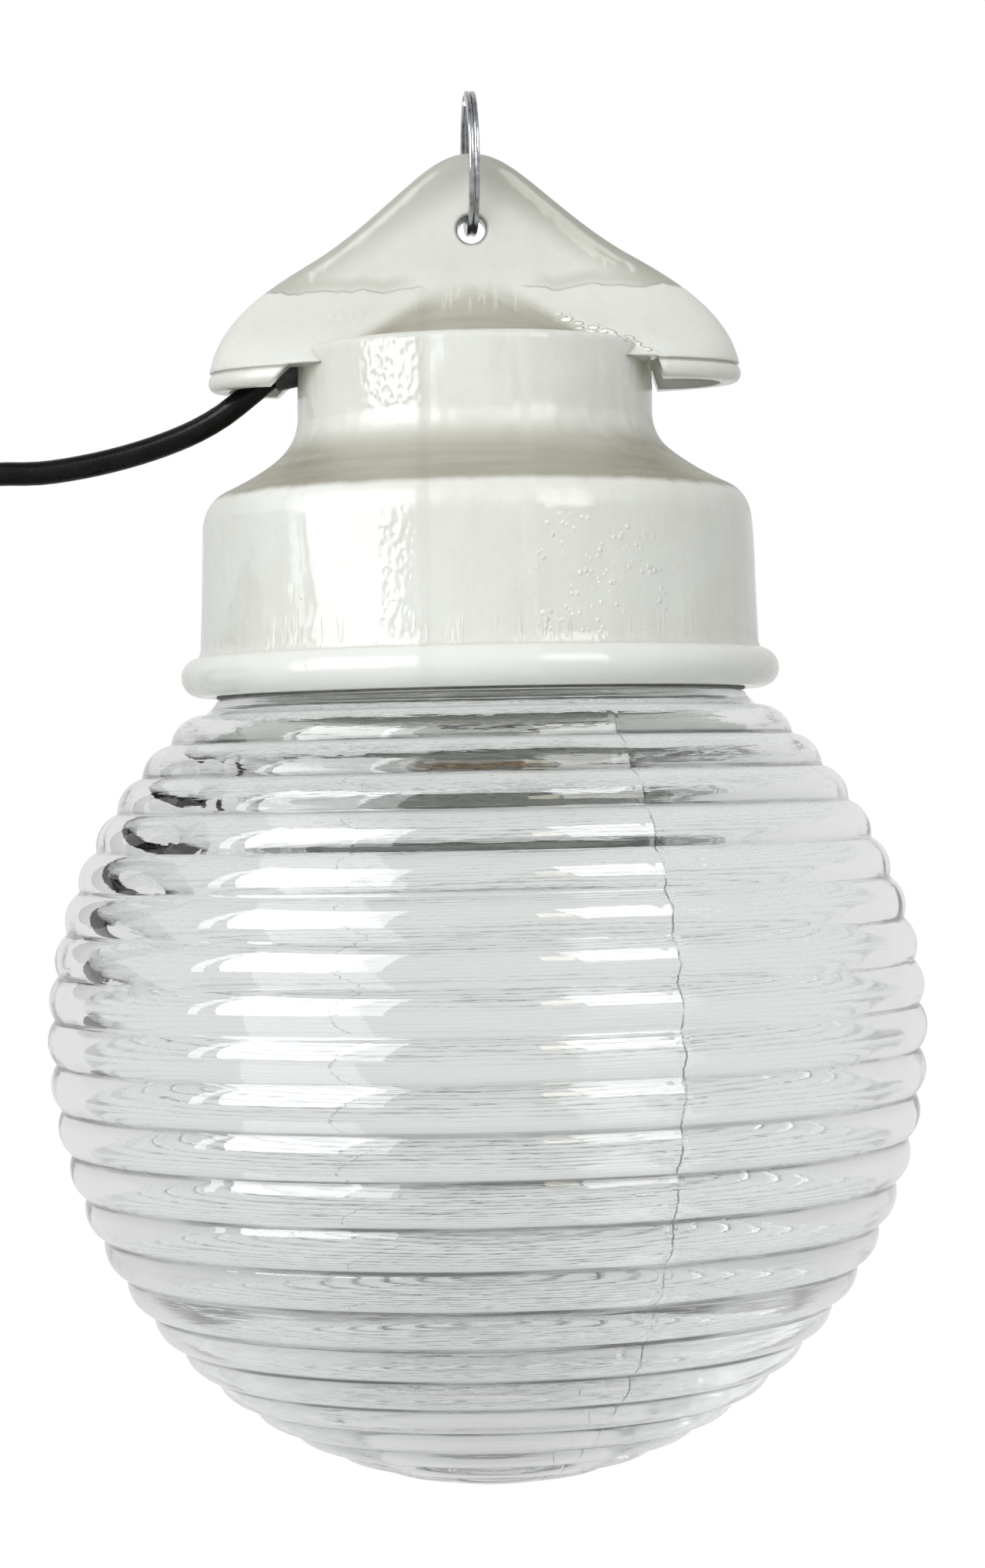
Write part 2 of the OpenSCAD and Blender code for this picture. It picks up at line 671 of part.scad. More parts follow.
module entry_plug() {
  shank = entry_r - fit;
  color("#303030") mirror([1, 0, 0]) at_entry() rotate_extrude() polygon([
    [0, 0.6], [shank - 0.8, 0.6], [shank, 1.4], [shank, pocket_s], [shank + 1.1, pocket_s],
    [shank + 1.1, pocket_s + 2], [0, pocket_s + 2]]);
}

module sheath_tie() {
  color("#181818") at_entry() translate([0, 0, grommet_tail + 0.2]) difference() {
    union() {
      cylinder(r = cord_r + 1, h = tie_w);
      translate([0, -2, 0]) cube([cord_r + 2.4, 4, tie_w]);
    }
    translate([0, 0, -1]) cylinder(r = cord_r + 0.05, h = tie_w + 2);
  }
}

module cord_inner() {
  color("#101010") at_entry() translate([0, 0, -grommet_nose])
    cylinder(r = cord_r, h = grommet_nose + sheath_end);
}

entry_dir = [cos(entry_slope), 0, sin(entry_slope)];
down = [0, 0, -1];
module line_core() {
  color("saddlebrown") tube(line_route, core_d / 2, 8, [0, 1, 0], entry_dir, down);
}
module neutral_core() {
  color("royalblue") tube(neutral_route, core_d / 2, 8, [0, 1, 0], entry_dir, down);
}

module core_ferrules() {
  base = z_boss + 1.4;
  foot = line_route[len(line_route) - 1][2];
  color("silver") for (side = [-1, 1]) translate([side * terminal_x, 0, base])
    cylinder(d = ferrule_d, h = foot - base);
}

module cord_free() {
  color("#101010") tube(cord_route, cord_r, 10, [0, -1, 1], -entry_dir,
    [0, -sin(coil_start), cos(coil_start)]);
}

// Path of the coil: in to the middle and out again, changing layer as it turns back
function coil_radius(a) = coil_r - coil_step * (coil_span - abs(a - coil_mid)) / 360;
function coil_layer(a) = let (s = max(0, min(1, (a - coil_mid + 90) / 180)))
  -coil_step * (3 * s * s - 2 * s * s * s);
function coil_point(a) = coil_centre
  + [coil_layer(a), coil_radius(a) * cos(a), coil_radius(a) * sin(a)];
function coil_heading(a) = [0, -sin(a), cos(a)];
coil_count = ceil(2 * coil_turns * coil_rings);
coil_body = [for (i = [1:coil_count - 1])
  coil_point(coil_start + (coil_end - coil_start) * i / coil_count)];
coil_tail = coil_point(coil_end) + cord_d * coil_heading(coil_end);
coil_path = concat([route_end, route_end + cord_d * coil_heading(coil_start)],
  [for (p = coil_body) if (norm(p - route_end) > 1.6 * cord_d || p[0] < route_end[0] - 1) p],
  [coil_point(coil_end), coil_tail]);
coil_least = min([for (i = [0:len(coil_body) - 1 - coil_rings / 2])
  for (j = [i + coil_rings / 2:len(coil_body) - 1]) norm(coil_body[j] - coil_body[i])]);
echo(least_gap_in_coil = coil_least - cord_d);

module cord_coil() {
  color("#101010") tube(coil_path, cord_r, 6, [1, 0, 0], coil_heading(coil_start),
    coil_heading(coil_end));
}

// Band round all the turns of the coil at one place
tie_t = 0.8;
tie_gap = 0.3;
module coil_band(angle) {
  turns = [for (k = [0:2 * ceil(2 * coil_turns)]) let (a = angle + 360 * k)
    if (a >= coil_start && a <= coil_end) coil_radius(a)];
  low = min(turns) - cord_r - tie_gap;
  high = max(turns) + cord_r + tie_gap;
  depth = coil_step + cord_d + 2 * tie_gap;
  translate(coil_centre + [cord_r + tie_gap - depth, 0, 0]) rotate([angle, 0, 0])
    difference() {
      translate([-tie_t, low - tie_t, -tie_w])
        cube([depth + 2 * tie_t, high - low + 2 * tie_t, 2 * tie_w]);
      translate([0, low, -tie_w - 1]) cube([depth, high - low, 2 * tie_w + 2]);
    }
}
module coil_tie() {
  color("#181818") for (angle = [90, 270]) coil_band(angle);
}

// Stripped cores beyond the end of the sheath, bent to follow the coil
core_side = core_d / 2 + 0.05;
end_r = coil_r + 0.3;
end_from = coil_end + asin((cord_d + fit / 2) / (end_r - core_side - core_d / 2));
end_sweep = end_core_l / end_r * 180 / PI;
module end_core(offset) {
  translate([coil_centre[0] - coil_step, 0, coil_centre[2]]) rotate([90, 0, 90])
    rotate([0, 0, end_from]) rotate_extrude(angle = end_sweep)
      translate([end_r + offset, 0]) circle(d = core_d);
}
module end_line_core() { color("saddlebrown") end_core(core_side); }
module end_neutral_core() { color("royalblue") end_core(-core_side); }
module end_ferrules() {
  color("silver") for (side = [-1, 1])
    translate([coil_centre[0] - coil_step, 0, coil_centre[2]]) rotate([90, 0, 90])
      rotate([0, 0, end_from + end_sweep]) translate([end_r + side * core_side, 0, 0])
        rotate([-90, 0, 0]) cylinder(d = ferrule_d, h = ferrule_l);
}

hanging_ring();
porcelain_body();
glass_globe();
glass_gasket();
holder_body();
screw_shell();
contact_foot();
contact_leaf();
line_rivet();
neutral_rivet();
line_terminal();
neutral_terminal();
terminal_screws();
holder_screws();
holder_nuts();
holder_washers();
cable_grommet();
entry_plug();
sheath_tie();
cord_inner();
line_core();
neutral_core();
core_ferrules();
cord_free();
cord_coil();
coil_tie();
end_line_core();
end_neutral_core();
end_ferrules();
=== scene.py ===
"""Looks of the industrial pendant lamp: camera, light, materials and finer shapes.

Shape functions work in millimetres; the objects they return are in metres."""
import json
import math

import bpy
from mathutils import Matrix, Vector, noise


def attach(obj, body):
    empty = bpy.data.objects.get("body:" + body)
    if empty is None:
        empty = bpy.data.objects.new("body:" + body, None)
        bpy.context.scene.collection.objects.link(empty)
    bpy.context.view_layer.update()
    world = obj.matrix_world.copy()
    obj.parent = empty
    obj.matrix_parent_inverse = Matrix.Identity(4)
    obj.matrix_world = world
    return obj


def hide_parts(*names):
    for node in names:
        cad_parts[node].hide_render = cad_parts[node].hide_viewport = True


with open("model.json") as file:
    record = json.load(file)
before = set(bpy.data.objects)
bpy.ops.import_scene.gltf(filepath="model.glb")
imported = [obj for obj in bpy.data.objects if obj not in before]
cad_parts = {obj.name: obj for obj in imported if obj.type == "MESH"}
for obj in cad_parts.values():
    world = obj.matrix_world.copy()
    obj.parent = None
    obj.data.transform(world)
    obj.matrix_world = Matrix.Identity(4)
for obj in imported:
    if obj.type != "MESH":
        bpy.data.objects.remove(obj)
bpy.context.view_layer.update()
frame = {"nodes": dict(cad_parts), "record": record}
nodes = frame["nodes"]
MM = 0.001

# Heights and radii of the lamp, in millimetres, as the CAD part has them
RING_R, RING_WIRE_W, RING_TURN_T, RING_SLIT = 11.0, 2.2, 0.9, 0.1
Z_RING, Z_HOLE, Z_APEX = -11.0, -23.47, -9.17
HOOD_L, HOOD_H, HOOD_W, EAR_T = 97.0, 39.4, 42.0, 8.0
Z_FLARE, Z_LIP, Z_RIM = -29.97, -48.57, -51.97
NECK_R, LIP_GAP, Z_BEAD, Z_FOOT = 32.4, 3.8, -100.67, -107.77
Z_SHELF, Z_SEAT, Z_LUG = -56.97, -61.97, -103.97
GLOBE_R, GLOBE_UP, GLOBE_DOWN, GLOBE_DROP = 80.0, 78.0, 82.0, 61.2
Z_SHOULDER, Z_GLOBE = -108.27, -169.47
RIB_R, RIB_STEP, RIBS_UP, RIBS_DOWN, RIB_SINK = 6.2, 5.85, 8, 14, 2.2
COLLAR_R, COLLAR_H, COLLAR_WALL, THREAD_PITCH = 41.0, 20.0, 4.0, 6.35
SKIRT_BORE_R, THREAD_TURNS = 43.0, 1.75
CORD_D = 4.4

# Angles of the two mould seams of the glass, from +X towards +Y
SEAM_ANGLES = (-66.0, 114.0)

# Route of the cord and the facts of its coil, in millimetres and degrees
CORD_ROUTE = [(-37.08, 0, -49.16), (-41.5, 0, -52.6), (-46, 0, -56), (-51, 0, -58.8),
    (-57, 0, -61.2), (-64, 0, -63.3), (-72, 0, -65), (-80, 0, -66), (-88, 0, -66),
    (-94.2, -0.8, -66.8), (-99.6, -3, -69), (-103.6, -6.4, -72.4), (-105.7, -10.5, -76.5),
    (-106, -14.6, -80.6), (-106, -19.6, -85.6), (-106, -24.6, -90.6)]
COIL_R, COIL_STEP, COIL_START, COIL_SPAN = 34.8, 4.95, 135.0, 1170.0
COIL_CENTRE = (-106.0, 0.0, -115.2)


def sin(degrees):
    return math.sin(math.radians(degrees))


def cos(degrees):
    return math.cos(math.radians(degrees))


def smoothstep(low, high, value):
    share = max(0.0, min(1.0, (value - low) / (high - low)))
    return share * share * (3 - 2 * share)


def cubic(p, t):
    """Point at t along the cubic curve with the four control points p."""
    k = ((1 - t) ** 3, 3 * (1 - t) ** 2 * t, 3 * (1 - t) * t * t, t ** 3)
    return tuple(sum(w * q[i] for w, q in zip(k, p)) for i in range(len(p[0])))


def arc(centre, radius, start, end, steps):
    """Points round a centre, from one angle to another."""
    turn = (end - start) / steps
    return [(centre[0] + radius * cos(start + turn * i), centre[1] + radius * sin(start + turn * i))
            for i in range(steps + 1)]


def line(start, end, steps):
    """Points from start to end, without the end itself."""
    return [tuple(a + (b - a) * i / steps for a, b in zip(start, end)) for i in range(steps)]


# Camera and light

FOCAL_PIXELS, PHOTO_H, ROLL = 5112.0, 2037.0, 0.0205


def make_camera():
    """Camera level with the middle of the globe, tilted as the photo is."""
    data = bpy.data.cameras.new("camera")
    data.sensor_fit = "VERTICAL"
    data.sensor_height = 36.0
    data.lens = 36.0 * FOCAL_PIXELS / PHOTO_H
    data.clip_start = 0.01
    camera = bpy.data.objects.new("camera", data)
    camera.location = (0.0018, -0.72, -0.1245)
    camera.rotation_euler = (math.pi / 2, ROLL, 0.0)
    bpy.context.scene.collection.objects.link(camera)
    bpy.context.scene.camera = camera


def add(tree, kind, inputs=(), **settings):
    """New shader node; inputs are (socket, value or output socket) pairs."""
    node = tree.nodes.new(kind)
    for name, value in settings.items():
        setattr(node, name, value)
    for name, value in inputs:
        if isinstance(value, bpy.types.NodeSocket):
            tree.links.new(value, node.inputs[name])
        else:
            node.inputs[name].default_value = value
    return node


def math_node(tree, operation, *values):
    return add(tree, "ShaderNodeMath", enumerate(values), operation=operation).outputs[0]


# What gloss and glass see, from straight down (0) to straight up (1), as grey levels
STUDIO_STOPS = [(0.0, 0.60), (0.010, 0.55), (0.018, 0.34), (0.030, 0.34), (0.046, 0.60), (0.12, 0.70),
    (0.38, 0.77), (0.60, 0.79), (0.80, 0.75), (0.92, 0.68), (0.975, 0.42), (1.0, 0.30)]


def make_world():
    """White for the camera; a pale studio with a dark rim near the floor for glass and gloss."""
    world = bpy.data.worlds.new("studio")
    bpy.context.scene.world = world
    world.use_nodes = True
    tree = world.node_tree
    tree.nodes.clear()
    direction = add(tree, "ShaderNodeTexCoord").outputs["Generated"]
    side, _, height = add(tree, "ShaderNodeSeparateXYZ", [("Vector", direction)]).outputs
    share = math_node(tree, "MULTIPLY_ADD", height, 0.5, 0.5)
    ramp = add(tree, "ShaderNodeValToRGB", [("Fac", share)])
    elements = ramp.color_ramp.elements
    for place, grey in STUDIO_STOPS[1:-1]:
        elements.new(place)
    for element, (place, grey) in zip(elements, STUDIO_STOPS):
        element.position = place
        element.color = (grey, grey * 1.003, grey * 0.995, 1.0)
    path = add(tree, "ShaderNodeLightPath")
    seen = math_node(tree, "MAXIMUM", path.outputs["Is Glossy Ray"],
                     path.outputs["Is Transmission Ray"])
    level = math_node(tree, "MULTIPLY_ADD", height, 0.17, 0.47)
    level = math_node(tree, "MULTIPLY_ADD", side, -0.06, level)
    ambient = add(tree, "ShaderNodeBackground", [("Color", (0.98, 0.995, 0.98, 1)), ("Strength", level)])
    studio = add(tree, "ShaderNodeBackground", [("Color", ramp.outputs["Color"]), ("Strength", 1.0)])
    white = add(tree, "ShaderNodeBackground", [("Color", (1, 1, 1, 1)), ("Strength", 1.0)])
    lit = add(tree, "ShaderNodeMixShader", [("Fac", seen), (1, ambient.outputs[0]),
                                            (2, studio.outputs[0])])
    final = add(tree, "ShaderNodeMixShader", [("Fac", path.outputs["Is Camera Ray"]),
                                              (1, lit.outputs[0]), (2, white.outputs[0])])
    add(tree, "ShaderNodeOutputWorld", [("Surface", final.outputs[0])])


def softbox(name, azimuth, elevation, distance, width, height, radiance, colour, seen_by):
    """Rectangular lamp aimed at the object; azimuth 0 is the camera's side.

    It lights the surfaces, or only shows in gloss or through glass."""
    data = bpy.data.lights.new(name, "AREA")
    data.shape = "RECTANGLE"
    data.size, data.size_y = width, height
    data.energy = radiance * math.pi * width * height
    data.color = colour
    obj = bpy.data.objects.new(name, data)
    away = Vector((sin(azimuth) * cos(elevation), -cos(azimuth) * cos(elevation), sin(elevation)))
    obj.location = Vector((0.0, 0.0, -0.13)) + away * distance
    obj.rotation_euler = away.to_track_quat("Z", "Y").to_euler()
    obj.visible_diffuse = seen_by == "surfaces"
    obj.visible_glossy = seen_by == "gloss"
    obj.visible_transmission = seen_by == "glass"
    bpy.context.scene.collection.objects.link(obj)


def make_floor():
    """Pale floor under the lamp: white where it is lit, darker in the shadow, clear from below."""
    size, height = 3.0, -0.42
    mesh = bpy.data.meshes.new("floor")
    mesh.from_pydata([(-size, -size, height), (size, -size, height), (size, size, height),
                      (-size, size, height)], [], [(0, 1, 2, 3)])
    floor = bpy.data.objects.new("floor", mesh)
    bpy.context.scene.collection.objects.link(floor)
    material = bpy.data.materials.new("floor")
    material.use_nodes = True
    tree = material.node_tree
    tree.nodes.clear()
    diffuse = add(tree, "ShaderNodeBsdfDiffuse", [("Color", (0.72, 0.72, 0.71, 1))])
    path = add(tree, "ShaderNodeLightPath")
    level = math_node(tree, "MULTIPLY", path.outputs["Is Camera Ray"], 0.66)
    glow = add(tree, "ShaderNodeEmission", [("Color", (1, 1, 1, 1)), ("Strength", level)])
    paper = add(tree, "ShaderNodeAddShader", [(0, diffuse.outputs[0]), (1, glow.outputs[0])])
    clear = add(tree, "ShaderNodeBsdfTransparent")
    seen = math_node(tree, "MAXIMUM", path.outputs["Is Glossy Ray"],
                     path.outputs["Is Transmission Ray"])
    below = add(tree, "ShaderNodeNewGeometry").outputs["Backfacing"]
    seen = math_node(tree, "MAXIMUM", seen, below)
    lit = add(tree, "ShaderNodeMixShader", [("Fac", seen), (1, paper.outputs[0]),
                                            (2, clear.outputs[0])])
    add(tree, "ShaderNodeOutputMaterial", [("Surface", lit.outputs[0])])
    mesh.materials.append(material)


# Materials

class Look:
    """A material under construction: its node tree, shader and place on the part."""

    def __init__(self, name, settings):
        self.material = bpy.data.materials.new(name)
        self.material.use_nodes = True
        self.tree = self.material.node_tree
        self.shader = self.tree.nodes["Principled BSDF"]
        self.place = add(self.tree, "ShaderNodeTexCoord").outputs["Object"]
        self.xyz = add(self.tree, "ShaderNodeSeparateXYZ", [("Vector", self.place)]).outputs
        for socket, value in settings.items():
            self.set(socket, value)

    def set(self, socket, value):
        if isinstance(value, bpy.types.NodeSocket):
            self.tree.links.new(value, self.shader.inputs[socket])
        else:
            self.shader.inputs[socket].default_value = value

    def math(self, operation, *values):
        return math_node(self.tree, operation, *values)

    def noise(self, size, detail=3.0, stretch=(1, 1, 1), offset=0.0, rough=0.5):
        """Noise from 0 to 1 whose features are about size millimetres across."""
        scale = tuple(1 / (size * MM * s) for s in stretch)
        place = add(self.tree, "ShaderNodeMapping",
                    [("Vector", self.place), ("Scale", scale), ("Location", (offset,) * 3)])
        return add(self.tree, "ShaderNodeTexNoise", [("Vector", place.outputs[0]),
                   ("Scale", 1.0), ("Detail", detail), ("Roughness", rough)]).outputs["Fac"]

    def cells(self, size, stretch=(1, 1, 1), feature="F1", offset=0.0):
        """Distance within cells that are about size millimetres across."""
        scale = tuple(1 / (size * MM * s) for s in stretch)
        place = add(self.tree, "ShaderNodeMapping",
                    [("Vector", self.place), ("Scale", scale), ("Location", (offset,) * 3)])
        return add(self.tree, "ShaderNodeTexVoronoi", [("Vector", place.outputs[0]),
                   ("Scale", 1.0)], feature=feature).outputs["Distance"]

    def remap(self, value, low, high, to_low=0.0, to_high=1.0):
        return add(self.tree, "ShaderNodeMapRange", [
            ("Value", value), ("From Min", low), ("From Max", high), ("To Min", to_low),
            ("To Max", to_high)], interpolation_type="SMOOTHSTEP").outputs[0]

    def band(self, value, low, high, soft):
        """1 between low and high, falling to 0 over soft on both sides."""
        up = self.remap(value, low - soft, low + soft)
        down = self.remap(value, high - soft, high + soft, 1.0, 0.0)
        return self.math("MULTIPLY", up, down)

    def rise(self, value, limits, to_low=0.0, to_high=1.0):
        """Like remap, between two limits in millimetres."""
        return self.remap(value, limits[0] * MM, limits[1] * MM, to_low, to_high)

    def fall(self, value, limits):
        """1 up to the lower limit and 0 past the upper one, in millimetres."""
        return self.rise(value, limits, 1.0, 0.0)

    def mix(self, share, low, high):
        node = add(self.tree, "ShaderNodeMix", data_type="RGBA")
        for index, value in ((0, share), (6, low), (7, high)):
            if isinstance(value, bpy.types.NodeSocket):
                self.tree.links.new(value, node.inputs[index])
            elif index:
                node.inputs[index].default_value = (*value, 1.0)
            else:
                node.inputs[index].default_value = value
        return node.outputs[2]

    def bump(self, height, depth, normal=None):
        """Relief of the surface, depth millimetres from lowest to highest."""
        inputs = [("Height", height), ("Distance", depth * MM), ("Strength", 1.0)]
        if normal is not None:
            inputs.append(("Normal", normal))
        return add(self.tree, "ShaderNodeBump", inputs).outputs[0]

    def worn(self, colour, darker, size, rough, spread, relief=0.0):
        """Uneven colour, roughness and relief, all from noise of the same size."""
        patch = self.noise(size, 4.0)
        fine = self.noise(size / 7, 2.0, offset=5.0)
        self.set("Base Color", self.mix(self.remap(patch, 0.35, 0.65), darker, colour))
        self.set("Roughness", self.remap(fine, 0.3, 0.7, rough - spread, rough + spread))
        if relief:
            self.set("Normal", self.bump(fine, relief))
        return self.material


def patch(look, x_low, x_high, z_low, z_high, soft):
    """1 within a patch of the lamp's front, whose limits are in millimetres."""
    x, y, z = look.xyz
    across = look.band(x, x_low * MM, x_high * MM, soft * MM)
    down = look.band(z, z_low * MM, z_high * MM, soft * MM)
    front = look.remap(y, -0.006, -0.002, 1.0, 0.0)
    return look.math("MULTIPLY", look.math("MULTIPLY", across, down), front)


def either(look, *masks):
    """The largest of several masks."""
    top = masks[0]
    for mask in masks[1:]:
        top = look.math("MAXIMUM", top, mask)
    return top


def both(look, *masks):
    """The product of several masks or shares."""
    product = masks[0]
    for mask in masks[1:]:
        product = look.math("MULTIPLY", product, mask)
    return product


# Porcelain glaze: colours, painted shades and a painted glint, and limits in millimetres of its heights
# and widths

WHITE, COOL_WHITE, MOTTLE = (0.80, 0.803, 0.757), (0.83, 0.84, 0.80), (0.62, 0.62, 0.56)
STREAK, HOOD_PAINTED_SHADE, BEAD_TINT = (0.70, 0.69, 0.62), (0.66, 0.66, 0.605), (0.87, 0.88, 0.845)
EDGE_PAINTED_SHADE, RIM_PAINTED_SHADE, LEDGE_PAINTED_SHADE = (0.50, 0.50, 0.45), (0.40, 0.395, 0.345), (0.50, 0.49, 0.43)
CREVICE_PAINTED_SHADE, HOLE_PAINTED_SHADOW, SPECK = (0.45, 0.435, 0.36), (0.12, 0.12, 0.11), (0.13, 0.11, 0.09)
LIGHT_BEIGE, DARK_BEIGE, RING_BEIGE = (0.50, 0.485, 0.42), (0.31, 0.29, 0.22), (0.60, 0.59, 0.52)
CHIP_PAINTED_GLINT = (1.0, 0.99, 0.92)
LEDGE_Z, LEDGE_WANDER = (-32.9, -32.3), 0.0034
COVE_TOP, COVE_FOOT = (-64.0, -58.5), (-72.4, -71.0)
DISH_TOP, DISH_FOOT = (-33.2, -30.6), (-44.6, -43.4)
HOOD_FADE, BEAD_FADE, HOLE_FADE = (-47.0, -40.0), (-101.2, -100.0), (2.62, 2.9)


def glaze_ledge(look):
    """Height of the wandering ledge across the hood, where the ear stands back."""
    wander = look.noise(6.0, 3.0, (1, 6, 40), offset=11.0)
    return look.math("MULTIPLY_ADD", wander, LEDGE_WANDER, look.xyz[2])


def thin_cove(look, flow):
    """Where the glaze is thin in the cove over the skirt."""
    z = look.xyz[2]
    top = look.fall(look.math("MULTIPLY_ADD", flow, 0.0016, z), COVE_TOP)
    foot = look.rise(look.math("MULTIPLY_ADD", flow, 0.0010, z), COVE_FOOT)
    return both(look, top, foot)


def thin_dish(look, away, flow):
    """Where the glaze is thin in the dish over the neck, on the front."""
    x, y, z = look.xyz
    reach = look.math("MULTIPLY_ADD", z, -1.5, -0.0452)
    side = look.fall(look.math("SUBTRACT", away, reach), (-2.8, 2.8))
    top = look.fall(look.math("MULTIPLY_ADD", flow, 0.0030, z), DISH_TOP)
    near = look.fall(y, (-8.0, -3.0))
    return both(look, side, top, look.rise(z, DISH_FOOT), near)


def white_glaze(look, flow, cloud):
    """Uneven white with mottle and runs."""
    mottle = look.noise(1.1, 2.0, (1, 1, 1.6), offset=15.0)
    base = look.mix(look.remap(cloud, 0.35, 0.65), WHITE, COOL_WHITE)
    base = look.mix(look.remap(mottle, 0.35, 0.7, 0.0, 0.10), base, MOTTLE)
    return look.mix(look.math("MULTIPLY", look.remap(flow, 0.5, 0.7), 0.22), base, STREAK)


def shade_hood(look, base, away, ledge_z):
    """Painted shade on the hood: darker over all, on its flanks, along its outline (more on the right) and
    just over the ledge.
    """
    x, y, z = look.xyz
    above = look.rise(ledge_z, LEDGE_Z)
    normal = add(look.tree, "ShaderNodeTexCoord").outputs["Normal"]
    across = add(look.tree, "ShaderNodeSeparateXYZ", [("Vector", normal)]).outputs["X"]
    flank = look.remap(look.math("ABSOLUTE", across), 0.04, 0.42)
    reach = look.math("MULTIPLY_ADD", z, 1.59, 0.0162)
    rim = look.rise(look.math("ADD", away, reach), (-13.0, -1.0))
    over = look.band(ledge_z, -0.0323, -0.0302, 0.0010)
    beside = look.band(away, 0.012, 0.037, 0.003)
    # Painted shade: the hood darker than the neck, its flanks and outline darker, the outline more on the
    # right, and a dark line over the ledge
    base = look.mix(look.rise(z, HOOD_FADE, 0.0, 0.32), base, HOOD_PAINTED_SHADE)
    base = look.mix(both(look, flank, above, 0.75), base, EDGE_PAINTED_SHADE)
    base = look.mix(both(look, rim, above, look.rise(x, (-20.0, 20.0), 0.55, 0.85)), base, RIM_PAINTED_SHADE)
    return look.mix(both(look, over, beside, 0.5), base, LEDGE_PAINTED_SHADE)


def shade_crevices(look, base):
    """Painted shade in the corners of the casting."""
    open_share = add(look.tree, "ShaderNodeAmbientOcclusion", [("Distance", 0.005)], samples=6,
                     only_local=True).outputs["AO"]
    # Painted shade: darker where ambient occlusion finds the corner closed
    return look.mix(look.remap(open_share, 0.40, 0.97, 0.75, 0.0), base, CREVICE_PAINTED_SHADE)


def beige_glaze(look, away, fine_flow, dish_flow, cove, dish):
    """Beige of the thin glaze, with drips and rings, darker at the sides; painted shade makes it darker
    downwards in the dish and the cove.
    """
    z = look.xyz[2]
    # Painted shade: the beige darker downwards in the dish and the cove
    low_dish = both(look, look.remap(z, -0.0350, -0.0425), dish)
    low_cove = both(look, look.remap(z, -0.0615, -0.0700), cove)
    sides = both(look, look.rise(away, (18.0, 36.0)), look.remap(fine_flow, 0.3, 0.6), 0.45)
    dark = look.math("MULTIPLY_ADD", either(look, low_dish, low_cove), 0.8, sides)
    drips = both(look, look.remap(dish_flow, 0.54, 0.62), look.rise(z, (-41.0, -36.5), 0.0, 0.6))
    rings = look.noise(1.5, 3.0, (14, 14, 1), offset=17.0)
    beige = look.mix(dark, LIGHT_BEIGE, DARK_BEIGE)
    beige = look.mix(drips, beige, STREAK)
    return look.mix(look.remap(rings, 0.35, 0.65, 0.0, 0.22), beige, RING_BEIGE)


def shade_hole(look, base):
    """Painted shadow on the wall of the ear hole."""
    x, y, z = look.xyz
    up = look.math("POWER", look.math("ADD", z, -Z_HOLE * MM), 2.0)
    from_axis = look.math("POWER", look.math("ADD", look.math("MULTIPLY", x, x), up), 0.5)
    # Painted shadow: dark within the radius of the hole
    return look.mix(look.rise(from_axis, HOLE_FADE, 0.9, 0.0), base, HOLE_PAINTED_SHADOW)


def add_specks(look, base):
    """A few dark specks in the glaze."""
    specks = look.remap(look.cells(7.0, offset=2.0), 0.035, 0.06, 1.0, 0.0)
    few = look.remap(look.noise(9.0, 1.0, offset=4.0), 0.6, 0.66)
    return look.mix(both(look, specks, few, 0.8), base, SPECK)


def chip_and_glint_mask(look):
    """Small chips along the junction of the neck and the right wing; their near-white colour is a painted
    glint.
    """
    x, y, z = look.xyz
    across = look.math("MULTIPLY_ADD", x, 0.368, look.math("ADD", z, 0.0349))
    across = look.math("MULTIPLY_ADD", look.noise(4.0, 2.0, offset=19.0), 0.002, across)
    line_mask = look.band(across, 0.0001, 0.0019, 0.0004)
    cells = look.remap(look.cells(1.7, (1.3, 1, 0.8), offset=1.0), 0.55, 0.40)
    return both(look, cells, line_mask, patch(look, 15.5, 33, -50, -36, 1.2))


def glaze_relief(look, flow, fine_flow, away, ledge_z, chips_and_glints):
    """Normal of the glaze: rounded edges, waves, the ledge, crinkles, glints, runs and chips."""
    rounded = add(look.tree, "ShaderNodeBevel", [("Radius", 0.0011)], samples=4).outputs[0]
    normal = look.bump(look.noise(8.0, 2.0, offset=1.0), 0.24, rounded)
    normal = look.bump(flow, 0.12, normal)
    normal = look.bump(look.noise(1.4, 3.0, offset=7.0), 0.020, normal)
    ledge = both(look, look.fall(ledge_z, LEDGE_Z), look.rise(away, (7.5, 10.5)))
    normal = look.bump(ledge, 0.45, normal)
    crinkled = either(look, patch(look, -20, -9, -57.5, -45.5, 1.0),
                      patch(look, -17, -11.5, -99, -77, 1.2), patch(look, -28, -19, -41, -37, 1.5))
    crinkle = both(look, look.cells(1.1, (1, 1, 1.5), "SMOOTH_F1"), crinkled)
    normal = look.bump(crinkle, 0.38, normal)
    glints = both(look, look.remap(look.cells(1.5, offset=6.0), 0.1, 0.4, 1.0, 0.0),
                  look.remap(look.noise(5.0, 2.0, offset=8.0), 0.42, 0.6),
                  patch(look, 9, 34, -99, -80, 3.0))
    normal = look.bump(glints, 0.16, normal)
    runs = both(look, look.remap(fine_flow, 0.55, 0.68), patch(look, -48, 48, -101, -95.5, 2.0))
    normal = look.bump(runs, 0.10, normal)
    return look.bump(chips_and_glints, 0.5, normal)


